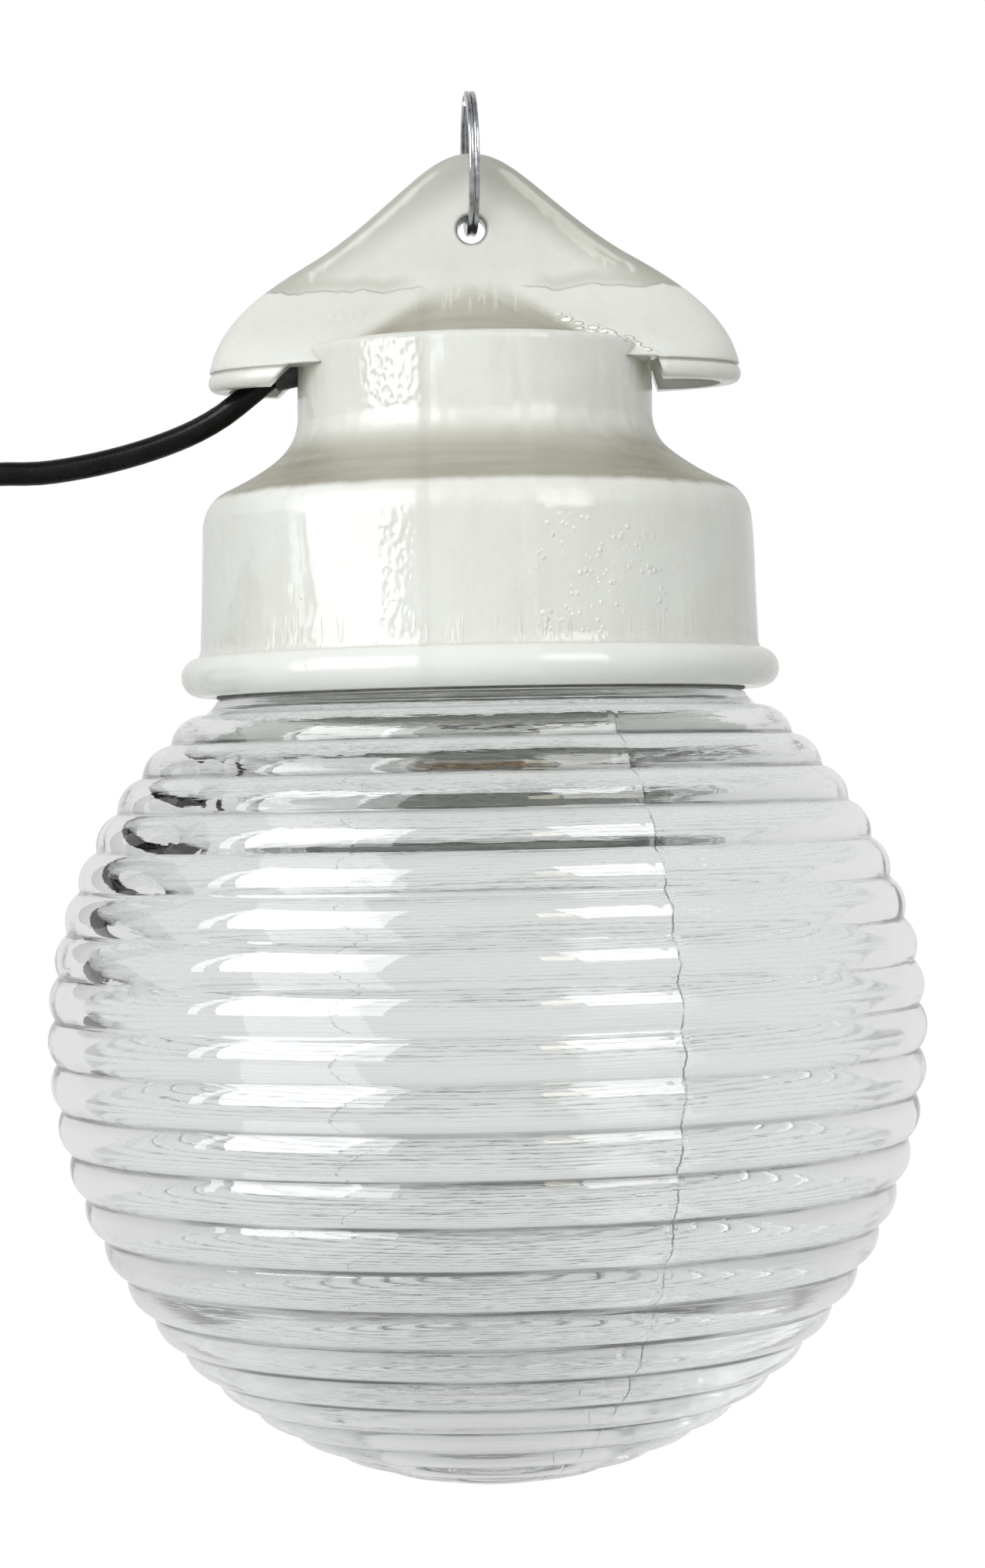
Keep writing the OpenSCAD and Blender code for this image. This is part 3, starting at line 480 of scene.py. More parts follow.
def glazed_porcelain():
    """White glaze: beige where it is thin, with runs, a ledge on the hood and crinkled patches."""
    look = Look("porcelain", {"Specular IOR Level": 0.3})
    x, y, z = look.xyz
    flow = look.noise(5.0, 3.0, (1, 1, 6))
    fine_flow = look.noise(1.3, 2.0, (1, 1, 9), offset=3.0)
    dish_flow = look.noise(1.2, 2.0, (1, 8, 10), offset=21.0)
    cloud = look.noise(24.0, 3.0, offset=9.0)
    away = look.math("ABSOLUTE", x)
    ledge_z = glaze_ledge(look)
    cove = thin_cove(look, flow)
    dish = thin_dish(look, away, dish_flow)
    thin = either(look, cove, dish)
    chips_and_glints = chip_and_glint_mask(look)

    base = white_glaze(look, flow, cloud)
    base = shade_hood(look, base, away, ledge_z)
    base = shade_crevices(look, base)
    beige = beige_glaze(look, away, fine_flow, dish_flow, cove, dish)
    base = look.mix(both(look, thin, 0.95), base, beige)
    base = look.mix(look.rise(z, BEAD_FADE, 0.7, 0.0), base, BEAD_TINT)
    base = shade_hole(look, base)
    base = add_specks(look, base)
    # Painted glint: near-white colour on the chips
    look.set("Base Color", look.mix(both(look, chips_and_glints, 0.95), base, CHIP_PAINTED_GLINT))

    gloss = look.remap(cloud, 0.3, 0.7, 0.03, 0.07)
    shoulder = look.band(z, -0.0765, -0.0715, 0.0012)
    cove_band = look.band(z, -0.0660, -0.0580, 0.0015)
    satin = either(look, thin, shoulder, cove_band)
    look.set("Roughness", look.math("MULTIPLY_ADD", satin, 0.30, gloss))
    look.set("Normal", glaze_relief(look, flow, fine_flow, away, ledge_z, chips_and_glints))
    return look.material


# Glass: colours, painted shades, and the spacing of its ribs along the wall in millimetres

GLASS_TINT, RIB_PAINTED_SHADE = (0.955, 0.97, 0.963), (0.52, 0.54, 0.53)
GROOVE_PAINTED_SHADE, SEAM_PAINTED_SHADE = (0.02, 0.022, 0.022), (0.10, 0.11, 0.11)
RIB_PITCH = 8.17
DEGREES = 180.0 / math.pi


def globe_mask(look):
    """1 on the outer surface of the globe, 0 on its inside and its collar."""
    centred = add(look.tree, "ShaderNodeVectorMath", [(0, look.place), (1, (0, 0, -Z_GLOBE * MM))])
    out = add(look.tree, "ShaderNodeVectorMath", [(0, centred.outputs[0])], operation="LENGTH")
    outer = look.rise(out.outputs["Value"], (75.7, 76.4))
    return both(look, outer, look.fall(look.xyz[2], (-115.0, -112.0)))


def seam_lines(look):
    """Broken hairlines that wiggle along the two mould seams."""
    x, y, z = look.xyz
    around = look.math("MULTIPLY", look.math("ARCTAN2", y, x), DEGREES)
    wiggle = look.noise(2.6, 3.0, (40, 40, 1), offset=12.0)
    broken = look.remap(look.noise(3.0, 2.0, (40, 40, 1), offset=14.0), 0.35, 0.55, 0.15, 1.0)
    lines = []
    for angle in SEAM_ANGLES:
        off = look.math("SUBTRACT", look.math("MULTIPLY_ADD", wiggle, 1.6, around), angle + 0.8)
        lines.append(look.remap(look.math("ABSOLUTE", off), 0.05, 0.22, 1.0, 0.0))
    return both(look, either(look, *lines), broken)


def from_valley(look):
    """Distance along the wall from the nearest valley between two ribs, in millimetres."""
    z = look.xyz[2]
    flat = add(look.tree, "ShaderNodeVectorMath", [(0, look.place), (1, (1, 1, 0))],
               operation="MULTIPLY")
    radius = add(look.tree, "ShaderNodeVectorMath", [(0, flat.outputs[0])], operation="LENGTH")
    squash = look.rise(z, (Z_GLOBE - 0.1, Z_GLOBE + 0.1), GLOBE_R / GLOBE_DOWN, GLOBE_R / GLOBE_UP)
    height = look.math("MULTIPLY", look.math("ADD", z, -Z_GLOBE * MM), squash)
    angle = look.math("ARCTAN2", height, radius.outputs["Value"])
    turn = look.math("FRACT", look.math("MULTIPLY", angle, DEGREES / RIB_STEP))
    return look.math("MULTIPLY", look.math("ABSOLUTE", look.math("SUBTRACT", turn, 0.5)), RIB_PITCH)


def valley_painted_shade(look, outer):
    """Painted shade in the glass's tint: thin dark lines in the valleys of its upper and lower ribs, with
    grey beside them, in place of dark lines made by refraction.
    """
    z = look.xyz[2]
    valley = from_valley(look)
    lower, upper = look.remap(z, -0.1640, -0.1950), look.remap(z, -0.1420, -0.1200)
    where = both(look, either(look, lower, upper), outer)
    faint = look.remap(look.noise(2.0, 3.0, (14, 14, 1), offset=31.0), 0.35, 0.6, 0.35, 1.0)
    shade = both(look, look.remap(valley, 0.4, 2.4, 1.0, 0.0), where, 0.5)
    groove = both(look, look.remap(valley, 0.22, 0.72, 1.0, 0.0), where, faint, 0.93)
    # Painted shade: grey beside the valleys and dark lines in them
    return look.mix(groove, look.mix(shade, GLASS_TINT, RIB_PAINTED_SHADE), GROOVE_PAINTED_SHADE)


def glass_relief(look):
    """Normal of the glass: drawn streaks, ripples and a rougher top."""
    z = look.xyz[2]
    normal = look.bump(look.noise(0.9, 3.0, (24, 24, 1)), 0.026)
    normal = look.bump(look.noise(9.0, 2.0, (2, 2, 1), offset=4.0), 0.04, normal)
    top = both(look, look.noise(2.2, 3.0, (9, 9, 1), offset=23.0), look.rise(z, (-138.0, -118.0)))
    return look.bump(top, 0.14, normal)


def clear_glass():
    """Clear pressed glass with streaks, seams, and painted shade along the seams and in the valleys, which
    lets shadow rays through.
    """
    look = Look("clear_glass", {"Roughness": 0.0, "IOR": 1.5, "Transmission Weight": 1.0})
    outer = globe_mask(look)
    seam = both(look, seam_lines(look), outer)
    # Painted shade: dark hairlines along the mould seams, on the outer surface
    look.set("Base Color", look.mix(seam, valley_painted_shade(look, outer), SEAM_PAINTED_SHADE))
    look.set("Normal", glass_relief(look))
    path = add(look.tree, "ShaderNodeLightPath")
    clear = add(look.tree, "ShaderNodeBsdfTransparent", [("Color", (0.86, 0.88, 0.87, 1))])
    mixed = add(look.tree, "ShaderNodeMixShader", [
        ("Fac", path.outputs["Is Shadow Ray"]), (1, look.shader.outputs[0]), (2, clear.outputs[0])])
    output = look.tree.nodes["Material Output"]
    look.tree.links.new(mixed.outputs[0], output.inputs["Surface"])
    return look.material


def metal(name, colour, darker, size, rough, spread, relief=0.0):
    look = Look(name, {"Metallic": 1.0})
    return look.worn(colour, darker, size, rough, spread, relief)


def rubber_like(name, colour, darker, rough, spread, relief, coat=0.0, specular=0.5):
    look = Look(name, {"Specular IOR Level": specular, "Coat Weight": coat, "Coat Roughness": 0.12})
    return look.worn(colour, darker, 3.0, rough, spread, relief)


def make_materials():
    """One procedural material for each material slot of the record."""
    return {
        "porcelain": glazed_porcelain(),
        "clear_glass": clear_glass(),
        "insulator": rubber_like("insulator", (0.84, 0.82, 0.77), (0.74, 0.71, 0.64), 0.32, 0.08, 0.02),
        "ring_steel": metal("ring_steel", (0.46, 0.47, 0.49), (0.28, 0.29, 0.31), 1.6, 0.15, 0.07, 0.01),
        "brass": metal("brass", (0.74, 0.56, 0.28), (0.55, 0.39, 0.19), 3.0, 0.3, 0.08, 0.01),
        "zinc_steel": metal("zinc_steel", (0.62, 0.62, 0.6), (0.48, 0.48, 0.46), 2.0, 0.33, 0.08, 0.01),
        "tinned": metal("tinned", (0.76, 0.76, 0.75), (0.6, 0.6, 0.6), 1.5, 0.25, 0.08, 0.01),
        "black_rubber": rubber_like("black_rubber", (0.035, 0.035, 0.035), (0.022, 0.022, 0.022), 0.5,
                                    0.08, 0.03),
        "grey_rubber": rubber_like("grey_rubber", (0.17, 0.17, 0.165), (0.12, 0.12, 0.115), 0.6, 0.08,
                                   0.04),
        "cord_black": rubber_like("cord_black", (0.006, 0.006, 0.006), (0.003, 0.003, 0.003), 0.24, 0.05,
                                  0.015, specular=0.14),
        "tie_black": rubber_like("tie_black", (0.035, 0.035, 0.035), (0.02, 0.02, 0.02), 0.45, 0.08, 0.02),
        "core_brown": rubber_like("core_brown", (0.25, 0.1, 0.04), (0.18, 0.07, 0.03), 0.35, 0.06, 0.01,
                                  0.2),
        "core_blue": rubber_like("core_blue", (0.05, 0.16, 0.5), (0.03, 0.11, 0.38), 0.35, 0.06, 0.01,
                                 0.2),
    }


# Shapes

def mesh_object(name, points, faces, sharp_angle=35.0):
    """Object from points in millimetres, smooth except where edges are sharper."""
    mesh = bpy.data.meshes.new(name)
    mesh.from_pydata([(p[0] * MM, p[1] * MM, p[2] * MM) for p in points], [], faces)
    obj = bpy.data.objects.new(name, mesh)
    bpy.context.scene.collection.objects.link(obj)
    shade(obj, sharp_angle)
    return obj


def shade(obj, sharp_angle):
    mesh = obj.data
    mesh.polygons.foreach_set("use_smooth", [True] * len(mesh.polygons))
    mesh.set_sharp_from_angle(angle=math.radians(sharp_angle))


def lathe(name, profile, angles, swell=None, sharp_angle=35.0):
    """Solid turned about Z, whose (radius, height) profile starts and ends on the axis."""
    points, rows = [], []
    for r, z in profile:
        if r < 1e-6:
            rows.append([len(points)] * len(angles))
            points.append((0.0, 0.0, z))
            continue
        rows.append(range(len(points), len(points) + len(angles)))
        for a in angles:
            out = r + (swell(r, z, a) if swell else 0.0)
            points.append((out * cos(a), out * sin(a), z))
    faces = []
    count = len(angles)
    for upper, lower in zip(rows, rows[1:]):
        for j in range(count):
            k = (j + 1) % count
            corners = [upper[j], lower[j], lower[k], upper[k]]
            face = list(dict.fromkeys(corners))
            if len(face) > 2:
                faces.append(face)
    return mesh_object(name, points, faces, sharp_angle)


def round_angles(count):
    return [360.0 * i / count for i in range(count)]


def turned(name, profile, origin, direction, count=64):
    """Small turned solid whose axis runs from an origin in a direction."""
    obj = lathe(name, profile, round_angles(count))
    turn = Vector(direction).to_track_quat("Z", "Y").to_matrix().to_4x4()
    obj.data.transform(Matrix.Translation(Vector(origin) * MM) @ turn)
    return obj


def rod(name, radius, low, high, origin, direction, tip_radius=None):
    """Cylinder or cone from low to high along an axis."""
    tip = radius if tip_radius is None else tip_radius
    return turned(name, [(0, high), (tip, high), (radius, low), (0, low)], origin, direction)


def block(name, low, high):
    """Box between two corners."""
    x, y, z = zip(low, high)
    points = [(a, b, c) for c in z for b in y for a in x]
    faces = [(0, 2, 3, 1), (4, 5, 7, 6), (0, 1, 5, 4), (2, 6, 7, 3), (0, 4, 6, 2), (1, 3, 7, 5)]
    return mesh_object(name, points, faces)


def combine(obj, others, operation):
    """Cuts the others out of obj or joins them to it; the others are used up."""
    for other in others:
        modifier = obj.modifiers.new("combine", "BOOLEAN")
        modifier.operation = operation
        modifier.solver = "MANIFOLD"
        modifier.object = other
    graph = bpy.context.evaluated_depsgraph_get()
    made = bpy.data.meshes.new_from_object(obj.evaluated_get(graph))
    obj.modifiers.clear()
    obj.data = made
    for other in others:
        bpy.data.objects.remove(other)


def helix_ridge(name, foot_r, tip_r, base):
    """Screw ridge that fades out at both ends, as the CAD part has it."""
    steps, foot_w, tip_w = 96, 3.0, 1.6
    last = math.ceil(THREAD_TURNS * steps)
    points, faces = [], []
    for i in range(last + 1):
        a = 360.0 * i / steps
        tip = foot_r + (tip_r - foot_r) * smoothstep(0, steps / 6, min(i, last - i) + 0.5)
        z = base + THREAD_PITCH * i / steps
        for r, w in ((foot_r, -foot_w), (tip, -tip_w), (tip, tip_w), (foot_r, foot_w)):
            points.append((r * cos(a), r * sin(a), z + w / 2))
    for i in range(last):
        for j in range(4):
            p, q = 4 * i + j, 4 * i + (j + 1) % 4
            faces.append((p, q, q + 4, p + 4))
    faces += [(3, 2, 1, 0), (4 * last, 4 * last + 1, 4 * last + 2, 4 * last + 3)]
    if tip_r < foot_r:
        faces = [tuple(reversed(f)) for f in faces]
    return mesh_object(name, points, faces)


# Outline of the hood from its top to its lip, as shares of half length and height
HOOD_TOP = ((0, 0), (0.165, 0), (0.289, 0.249), (0.577, 0.472))
HOOD_SIDE = ((0.577, 0.472), (0.742, 0.594), (0.959, 0.736), (1, 1))


def hood_share(t):
    return cubic(HOOD_TOP, t) if t < 1 else cubic(HOOD_SIDE, t - 1)


def flare(z):
    return max(0.0, min(1.0, (Z_FLARE - z) / (Z_FLARE - Z_LIP)))


def hood_half_w(z):
    top = min(1.0, (Z_APEX - z + 0.05) / 4)
    return EAR_T / 2 * math.sqrt(1 - (1 - top) ** 2) + (HOOD_W - EAR_T) / 2 * flare(z) ** 1.9


def oval(a, b, power, z, sides):
    """One level of the hood: an oval with evenly spaced points, boxy at the ear."""
    dense = []
    for i in range(sides * 8 + 1):
        c, s = cos(360 * i / (sides * 8)), sin(360 * i / (sides * 8))
        dense.append((math.copysign(a * abs(c) ** (2 / power), c),
                      math.copysign(b * abs(s) ** (2 / power), s)))
    reach = [0.0]
    for p, q in zip(dense, dense[1:]):
        reach.append(reach[-1] + math.dist(p, q))
    ring, k = [], 0
    for i in range(sides):
        goal = reach[-1] * i / sides
        while reach[k + 1] < goal:
            k += 1
        share = (goal - reach[k]) / max(1e-9, reach[k + 1] - reach[k])
        ring.append((dense[k][0] + share * (dense[k + 1][0] - dense[k][0]),
                     dense[k][1] + share * (dense[k + 1][1] - dense[k][1]), z))
    return ring


def glaze(p, depth, size):
    """Unevenness of the glaze at a point, in millimetres."""
    return depth * noise.noise(Vector(p) / size)


def make_hood():
    """Ear, hood and wings with their lip, before the hollows are cut."""
    sides = 176
    rings = []
    for i in range(1, 91):
        t = 2 * (i / 90) ** 1.15
        x, depth = hood_share(t)
        z = Z_APEX - depth * HOOD_H
        rings.append(oval(x * HOOD_L / 2, hood_half_w(z), 3.4 - 1.3 * flare(z), z, sides))
    lip = [(0.10, -0.22), (0.25, -0.42), (0.42, -0.40)]
    for angle in range(50, -91, -14):
        lip.append((1.75 - 1.65 * sin(angle), 0.2 - 1.25 * (1 - cos(angle))))
    for depth, out in lip:
        rings.append(oval(HOOD_L / 2 + out, HOOD_W / 2 + out, 2.1, Z_LIP - depth, sides))
    points = [(0.0, 0.0, Z_APEX)]
    for ring in rings:
        for x, y, z in ring:
            lift = 1 + glaze((x, y, z), 0.22, 13) / 40
            points.append((x * lift, y + glaze((x, y, z + 90), 0.16, 9), z))
    last = len(points)
    points.append((0.0, 0.0, rings[-1][0][2]))
    faces = [(0, 1 + j, 1 + (j + 1) % sides) for j in range(sides)]
    for i in range(len(rings) - 1):
        for j in range(sides):
            a, b = 1 + i * sides + j, 1 + i * sides + (j + 1) % sides
            faces.append((a, a + sides, b + sides, b))
    foot = 1 + (len(rings) - 1) * sides
    faces += [(foot + j, last, foot + (j + 1) % sides) for j in range(sides)]
    return mesh_object("porcelain", points, faces)


def fitting_outline():
    """Outer half section of neck and skirt, from the top of the neck to the foot."""
    dish_centre, dish_r = (31.0, -7.97), 36.8
    start = math.degrees(math.atan2(-33.87 - dish_centre[1], 4.86 - dish_centre[0]))
    points = [(0.0, -33.87)]
    points += arc(dish_centre, dish_r, start, -90, 28)
    points += arc((31.4, -46.07), 1.0, 90, 0, 6)
    points += line((NECK_R, -46.9), (NECK_R, -57.57), 12)
    points += arc((40.9, -57.57), 8.5, 180, 218, 9)
    slope = ((34.2, -62.8), (36.6, -65.9), (42.6, -69.1), (46.2, -70.8))
    points += [cubic(slope, i / 14) for i in range(1, 14)]
    shoulder = ((46.2, -70.8), (48.6, -71.9), (50.15, -74.2), (50.22, -78.2))
    points += [cubic(shoulder, i / 14) for i in range(14)]
    points += line((50.22, -78.2), (51.0, Z_BEAD), 18)
    points += arc((50.9, -104.17), 3.6, 82, -90, 20)
    points += [(48.5, Z_FOOT), (0.0, Z_FOOT)]
    return points


def glaze_swell(r, z, a):
    """Runs and waves of the glaze on the neck and skirt."""
    if r < 20 or z < Z_FOOT + 0.5:
        return 0.0
    p = (r * cos(a), r * sin(a), z)
    wave = glaze(p, 0.16, 11) + glaze(p, 0.05, 3.5)
    run = noise.noise(Vector((a * 0.5, z * 0.06, 3.0)))
    cove = smoothstep(-71, -67, z) * smoothstep(-56, -60, z)
    return wave + 0.10 * run + 0.25 * cove * noise.noise(Vector((a * 0.33, z * 0.2, 8.0)))


def fitting_hollow():
    """Half section of the hollow: gasket seat, skirt bore, neck and wiring room."""
    return [(0.0, -45.47), (14, -45.47), (26.5, -49.27), (26.5, Z_SHELF), (17, Z_SHELF),
            (17, Z_SEAT), (26.5, Z_SEAT), (26.5, -70.47), (40, -76.97), (43, -79.97),
            (43, -105.77), (48.5, -105.77), (48.5, -108.77), (0.0, -108.77)]


def notch_cutter():
    """Gap in the lip beside the neck: slanted at the cord's side, narrow at the other."""
    left, right, top, foot = -NECK_R - LIP_GAP, NECK_R + 1.2, Z_LIP + 0.1, Z_RIM - 1.0
    outline = [(left + 3.0, top), (left - 1.6, foot), (left - 1.6, foot - 4), (right + 0.8, foot - 4),
               (right + 0.8, foot), (right - 0.6, top)]
    count = len(outline)
    points = [(x, side * HOOD_W, z) for side in (-1, 1) for x, z in outline]
    faces = [(j, j + count, (j + 1) % count + count, (j + 1) % count) for j in range(count)]
    faces += [tuple(range(count)), tuple(reversed(range(count, 2 * count)))]
    return mesh_object("notch", points, faces)


def make_porcelain():
    """Ear, hood, neck, skirt and bead as one glazed casting, with all its hollows."""
    body = make_hood()
    hollows = []
    far, hollow_r = HOOD_L / 2 - 3.5 - 9.5, 9.5
    for side in (-1, 1):
        ball = [(far + hollow_r * cos(a), hollow_r * sin(a)) for a in range(0, 91, 6)]
        profile = [(r, h) for h, r in ball] + [(hollow_r, 0.0), (0.0, 0.0)]
        profile[0] = (0.0, far + hollow_r)
        hollows.append(turned("hollow", profile, (0, 0, Z_RIM + 0.6), (side, 0, 0), 96))
    neck = [rod("neck", NECK_R, Z_RIM - 10, Z_RIM + 50, (0, 0, 0), (0, 0, 1)) for side in (0, 1)]
    for hollow, core in zip(hollows, neck):
        combine(hollow, [core], "DIFFERENCE")
    notch = notch_cutter()
    combine(body, hollows + [notch], "DIFFERENCE")
    fitting = lathe("fitting", fitting_outline(), round_angles(240), glaze_swell)
    combine(body, [fitting], "UNION")
    cutters = [lathe("bore", fitting_hollow(), round_angles(128)),
               block("channel", (-17.2, -4.5, -47.27), (17.2, 4.5, -38.07))]
    for side in (-1, 1):
        origin, inward = (side * NECK_R, 0, -47.27), (-side * cos(22), 0, sin(22))
        cutters.append(rod("entry", 4.3, -7, 5.41, origin, inward))
        cutters.append(rod("pocket", 5.8, 5.4, 17.6, origin, inward))
        cutters.append(rod("screw_hole", 2.3, -62.97, -55.97, (0, side * 21.5, 0), (0, 0, 1)))
        cutters.append(rod("chamfer", 2.6, 3.4, 4.7, (0, 0, Z_HOLE), (0, side, 0), 3.7))
    cutters.append(rod("ear_hole", 2.6, -20, 20, (0, 0, Z_HOLE), (0, 1, 0)))
    combine(body, cutters, "DIFFERENCE")
    ridge = helix_ridge("lug", SKIRT_BORE_R + 0.6, COLLAR_R + 0.6, Z_LUG)
    combine(body, [ridge], "UNION")
    shade(body, 32.0)
    return body


def rib_reach(angle):
    """Distance from the globe's centre to its ribbed surface, at an angle from level."""
    u, v = cos(angle), sin(angle)
    half_u, half_v = GLOBE_R - RIB_SINK, (GLOBE_UP if v > 0 else GLOBE_DOWN) - RIB_SINK
    values = [1 / math.sqrt((u / half_u) ** 2 + (v / half_v) ** 2)]
    for i in range(-RIBS_DOWN, RIBS_UP + 1):
        t = RIB_STEP * i
        high = GLOBE_UP if t > 0 else GLOBE_DOWN
        out = Vector((cos(t) / GLOBE_R, sin(t) / high)).normalized()
        c = Vector((GLOBE_R * cos(t), high * sin(t))) - RIB_R * out
        along = c.x * u + c.y * v
        room = RIB_R ** 2 - (c.length_squared - along ** 2)
        if room > 0:
            values.append(along + math.sqrt(room))
    fillet = 0.09
    top = max(values)
    return top + fillet * math.log(sum(math.exp((value - top) / fillet) for value in values))


def glass_profile():
    """Half section of the glass from the inside of its foot, round the collar, to its foot."""
    wall = RIB_SINK + 4.0 - 0.7
    throat = COLLAR_R - COLLAR_WALL
    in_top = math.degrees(math.asin((GLOBE_DROP - 3) / (GLOBE_UP - wall)))
    inner = []
    for i in range(121):
        t = -90 + (90 + in_top) * i / 120
        high = (GLOBE_UP if t > 0 else GLOBE_DOWN) - wall
        inner.append(((GLOBE_R - wall) * cos(t), Z_GLOBE + high * sin(t)))
    inner[0] = (0.0, inner[0][1])
    z_collar = Z_SHOULDER + COLLAR_H
    inner += [(throat + 2.5, Z_SHOULDER - 3.0), (throat + 0.7, Z_SHOULDER - 2.6),
              (throat, Z_SHOULDER - 1.6)]
    inner += line((throat, Z_SHOULDER), (throat, z_collar - 1.5), 12)
    inner += arc((throat + 1.5, z_collar - 1.5), 1.5, 180, 90, 5)
    outer = arc((COLLAR_R - 1.5, z_collar - 1.5), 1.5, 90, 0, 5)
    outer += line((COLLAR_R, z_collar - 1.8), (COLLAR_R, Z_SHOULDER + 0.8), 48)
    outer += arc((COLLAR_R + 0.8, Z_SHOULDER + 0.8), 0.8, 180, 270, 4)
    corner = (48.6, GLOBE_DROP)
    outer += [(corner[0] - 1.2, Z_SHOULDER)]
    outer += arc((corner[0] - 1.2, Z_SHOULDER - 1.2), 1.2, 60, 15, 3)
    start = math.degrees(math.atan2(corner[1] - 3.4, corner[0] + 1.1))
    steps = 520
    for i in range(steps):
        angle = start - (90 + start) * i / steps
        reach = rib_reach(angle)
        outer.append((reach * cos(angle), Z_GLOBE + reach * sin(angle)))
    outer.append((0.0, Z_GLOBE - rib_reach(-90.0)))
    return inner + outer


def glass_angles():
    """Angles round the glass, closer together at the two mould seams."""
    angles = [360.0 * i / 216 for i in range(216)]
    for seam in SEAM_ANGLES:
        near = [a for a in angles if abs((a - seam + 180) % 360 - 180) > 2.4]
        angles = near + [(seam + step * 0.3) % 360 for step in range(-7, 8)]
    return sorted(angles)


def glass_swell(r, z, a):
    """Thread on the collar, mould seams, and the waviness of pressed glass."""
    if z > Z_SHOULDER + 0.9:
        if r < COLLAR_R - 0.01 or z > Z_SHOULDER + COLLAR_H - 1.7:
            return 0.0
        start = Z_LUG + THREAD_PITCH / 2
        ridge = 0.0
        for turn in range(3):
            along = a + 360.0 * turn
            if along > 360.0 * THREAD_TURNS:
                break
            fade = smoothstep(0, 45, min(along, 360.0 * THREAD_TURNS - along))
            off = abs(z - start - THREAD_PITCH * along / 360.0)
            ridge = max(ridge, fade * 1.2 * smoothstep(1.7, 0.7, off))
        return ridge
    high = GLOBE_UP if z > Z_GLOBE else GLOBE_DOWN
    inside = math.hypot(r / GLOBE_R, (z - Z_GLOBE) / high) < 0.955
    p = Vector((r * cos(a), r * sin(a), z))
    drift = noise.noise(p / 22)
    if inside:
        return 0.25 * drift + 0.05 * noise.noise(Vector((a * 0.05, z * 0.30, 7.0)))
    seam = 0.0
    for index, angle in enumerate(SEAM_ANGLES):
        wander = 0.5 * noise.noise(Vector((z * 0.12, index * 5.0, 1.0)))
        off = abs((a - angle - wander + 180) % 360 - 180)
        seam = max(seam, 0.10 * smoothstep(1.0, 0.25, off))
    return seam * min(1.0, r / 20) + 0.05 * noise.noise(p / 9)


def make_glass():
    """Threaded collar, shoulder and ribbed globe, pressed in one."""
    glass = lathe("glass", glass_profile(), glass_angles(), glass_swell, 50.0)
    return glass


def sweep(name, path, across, section, closed_ends=True):
    """Section of (side, up) points carried along a path; across(k) gives its side vector."""
    count, points, faces = len(section), [], []
    for k, p in enumerate(path):
        before, after = path[max(0, k - 1)], path[min(len(path) - 1, k + 1)]
        ahead = (Vector(after) - Vector(before)).normalized()
        side = across(k) - ahead * across(k).dot(ahead)
        side.normalize()
        up = ahead.cross(side)
        points += [Vector(p) + side * s + up * u for s, u in section]
    for k in range(len(path) - 1):
        for j in range(count):
            a, b = k * count + j, k * count + (j + 1) % count
            faces.append((a, b, b + count, a + count))
    if closed_ends:
        faces += [tuple(reversed(range(count))), tuple(range((len(path) - 1) * count, len(path) * count))]
    return mesh_object(name, points, faces, 50.0)


def rounded_box(width, height, radius, steps=3):
    """Outline of a rectangle with round corners."""
    points = []
    corners = ((1, 1, 0), (-1, 1, 90), (-1, -1, 180), (1, -1, 270))
    for sx, sy, start in corners:
        centre = (sx * (width / 2 - radius), sy * (height / 2 - radius))
        points += arc(centre, radius, start, start + 90, steps)
    return points


RING_TURN = 4.0


def make_ring():
    """Split ring: flat wire wound twice, crossing over beside its two ends."""
    path = []
    middle = RING_R + RING_WIRE_W / 2
    apart = (RING_TURN_T + RING_SLIT) / 2
    start, end = 9.0, 711.0
    steps = 360
    for i in range(steps + 1):
        a = start + (end - start) * i / steps
        x = apart * (2 * smoothstep(352, 368, a) - 1)
        path.append((x, middle * sin(a), Z_RING + middle * cos(a)))
    ring = sweep("ring", path, lambda k: Vector((1, 0, 0)),
                 rounded_box(RING_TURN_T - 0.02, RING_WIRE_W - 0.1, 0.3))
    ring.data.transform(Matrix.Rotation(math.radians(RING_TURN), 4, "Z"))
    return ring


# Cord

def through(points, step):
    """Smooth curve through the points, with a point about every step."""
    made = []
    pts = [Vector(p) for p in points]
    for k in range(len(pts) - 1):
        before = pts[k - 1] if k else 2 * pts[0] - pts[1]
        after = pts[k + 2] if k + 2 < len(pts) else 2 * pts[-1] - pts[-2]
        p, q = pts[k], pts[k + 1]
        count = max(2, round((q - p).length / step))
        for i in range(count):
            t = i / count
            made.append(0.5 * (2 * p + (q - before) * t + (2 * before - 5 * p + 4 * q - after) * t ** 2
                               + (3 * p - before - 3 * q + after) * t ** 3))
    made.append(pts[-1])
    return made


def coil_point(a):
    """Point of the coil at a winding angle: in to the middle, then out in the next layer."""
    middle = COIL_START + COIL_SPAN
    radius = COIL_R - COIL_STEP * (COIL_SPAN - abs(a - middle)) / 360
    layer = -COIL_STEP * smoothstep(-90, 90, a - middle)
    return Vector(COIL_CENTRE) + Vector((layer, radius * cos(a), radius * sin(a)))


def cord_points():
    """Centreline of the whole cord, from the grommet to the end of its sheath."""
    route = [Vector(p) for p in CORD_ROUTE]
    end = route[-1]
    heading = Vector((0, -sin(COIL_START), cos(COIL_START)))
    turn_end = COIL_START + 2 * COIL_SPAN
    coil = [coil_point(COIL_START + 2 * COIL_SPAN * i / 390) for i in range(391)]
    coil = [p for p in coil if (p - end).length > 1.6 * CORD_D or p.x < end.x - 1]
    tail = coil_point(turn_end) + CORD_D * Vector((0, -sin(turn_end), cos(turn_end)))
    free = through(route + [end + CORD_D * heading], 2.5)
    return free + coil + [tail]


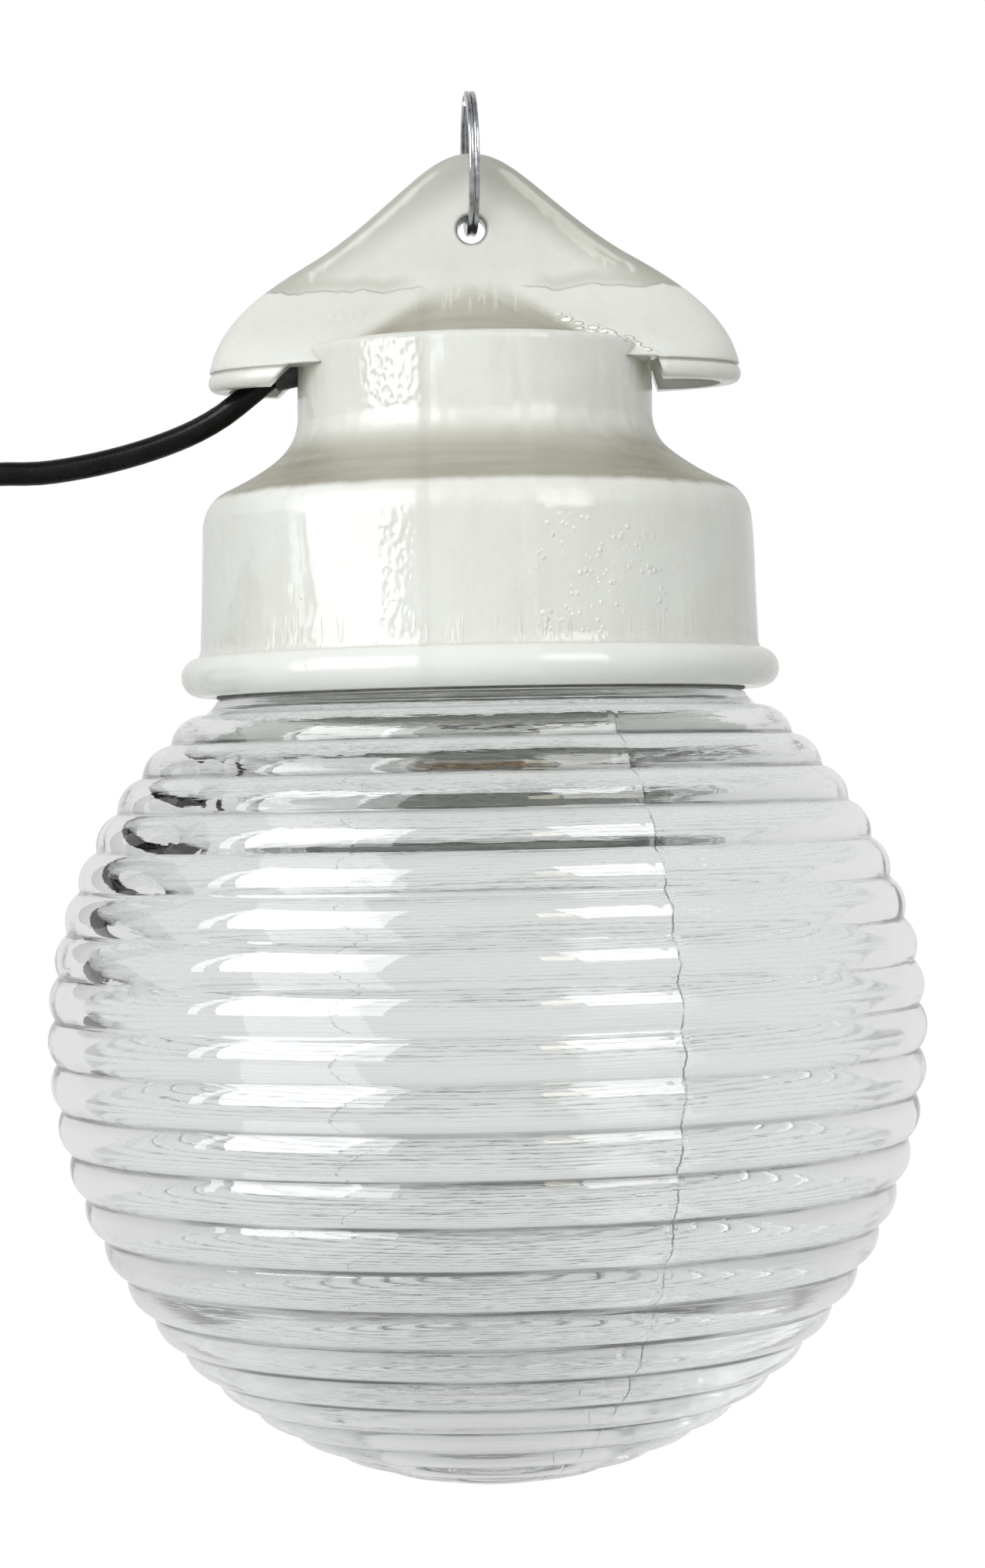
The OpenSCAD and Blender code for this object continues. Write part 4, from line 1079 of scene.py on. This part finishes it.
def make_cord():
    """The cord as one curve with its real diameter."""
    points = cord_points()
    curve = bpy.data.curves.new("cord", "CURVE")
    curve.dimensions = "3D"
    spline = curve.splines.new("POLY")
    spline.points.add(len(points) - 1)
    for target, p in zip(spline.points, points):
        target.co = (p.x * MM, p.y * MM, p.z * MM, 1.0)
    spline.use_smooth = True
    curve.bevel_depth = CORD_D / 2 * MM
    curve.bevel_resolution = 5
    curve.use_fill_caps = True
    cord = bpy.data.objects.new("cord", curve)
    bpy.context.scene.collection.objects.link(cord)
    length = sum((q - p).length for p, q in zip(points, points[1:])) * MM
    return cord, length


def dress(obj, material, slot, body, *replaced):
    """Gives a piece its material and body, and hides the nodes that it stands for. The slot argument is
    not used.
    """
    obj.data.materials.clear()
    obj.data.materials.append(material)
    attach(obj, body)
    if replaced:
        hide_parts(*replaced)


make_camera()
make_world()
softbox("window_light", -26, 24, 1.25, 1.0, 1.2, 2.0, (0.98, 1.0, 1.0), "surfaces")
softbox("side_light", 38, 16, 1.5, 0.9, 1.1, 0.25, (1.0, 0.98, 0.93), "surfaces")
softbox("top_light", 10, 72, 1.3, 1.2, 1.2, 0.5, (1.0, 1.0, 1.0), "surfaces")
softbox("window", -54, 23, 1.25, 0.80, 1.16, 9.0, (0.98, 1.0, 1.0), "gloss")
softbox("window_strip", -78, 23, 1.25, 0.09, 1.16, 5.0, (0.98, 1.0, 1.0), "gloss")
softbox("curtain", -31, 23, 1.25, 0.26, 1.16, 5.0, (0.98, 1.0, 1.0), "gloss")
softbox("side_window", 38, 31, 1.5, 0.65, 0.86, 7.0, (1.0, 1.0, 0.99), "gloss")
softbox("room_lamp", 19, 27, 1.5, 0.22, 0.28, 6.0, (1.0, 0.92, 0.74), "gloss")
softbox("window_through", -50, 23, 1.25, 0.90, 1.16, 2.6, (0.98, 1.0, 1.0), "glass")
softbox("side_through", 38, 31, 1.5, 0.65, 0.86, 2.6, (1.0, 1.0, 0.99), "glass")
make_floor()

materials = make_materials()
for row in frame["record"]["subparts"]:
    nodes[row["node"]].material_slots[0].material = materials[row["material_slot"]]

cord, cord_length = make_cord()
dress(cord, materials["cord_black"], "cord_black", "lamp", "cord_free", "cord_coil")

dress(make_porcelain(), materials["porcelain"], "porcelain", "lamp", "porcelain_body")
dress(make_glass(), materials["clear_glass"], "clear_glass", "glass", "glass_globe")
dress(make_ring(), materials["ring_steel"], "ring_steel", "ring", "hanging_ring")

# Light is trapped in the thick ribbed wall for many reflections before it leaves
cycles = bpy.context.scene.cycles
cycles.max_bounces, cycles.glossy_bounces, cycles.transmission_bounces = 40, 32, 32
bpy.context.scene.view_settings.view_transform = "Standard"
print("cord length", round(cord_length, 4))
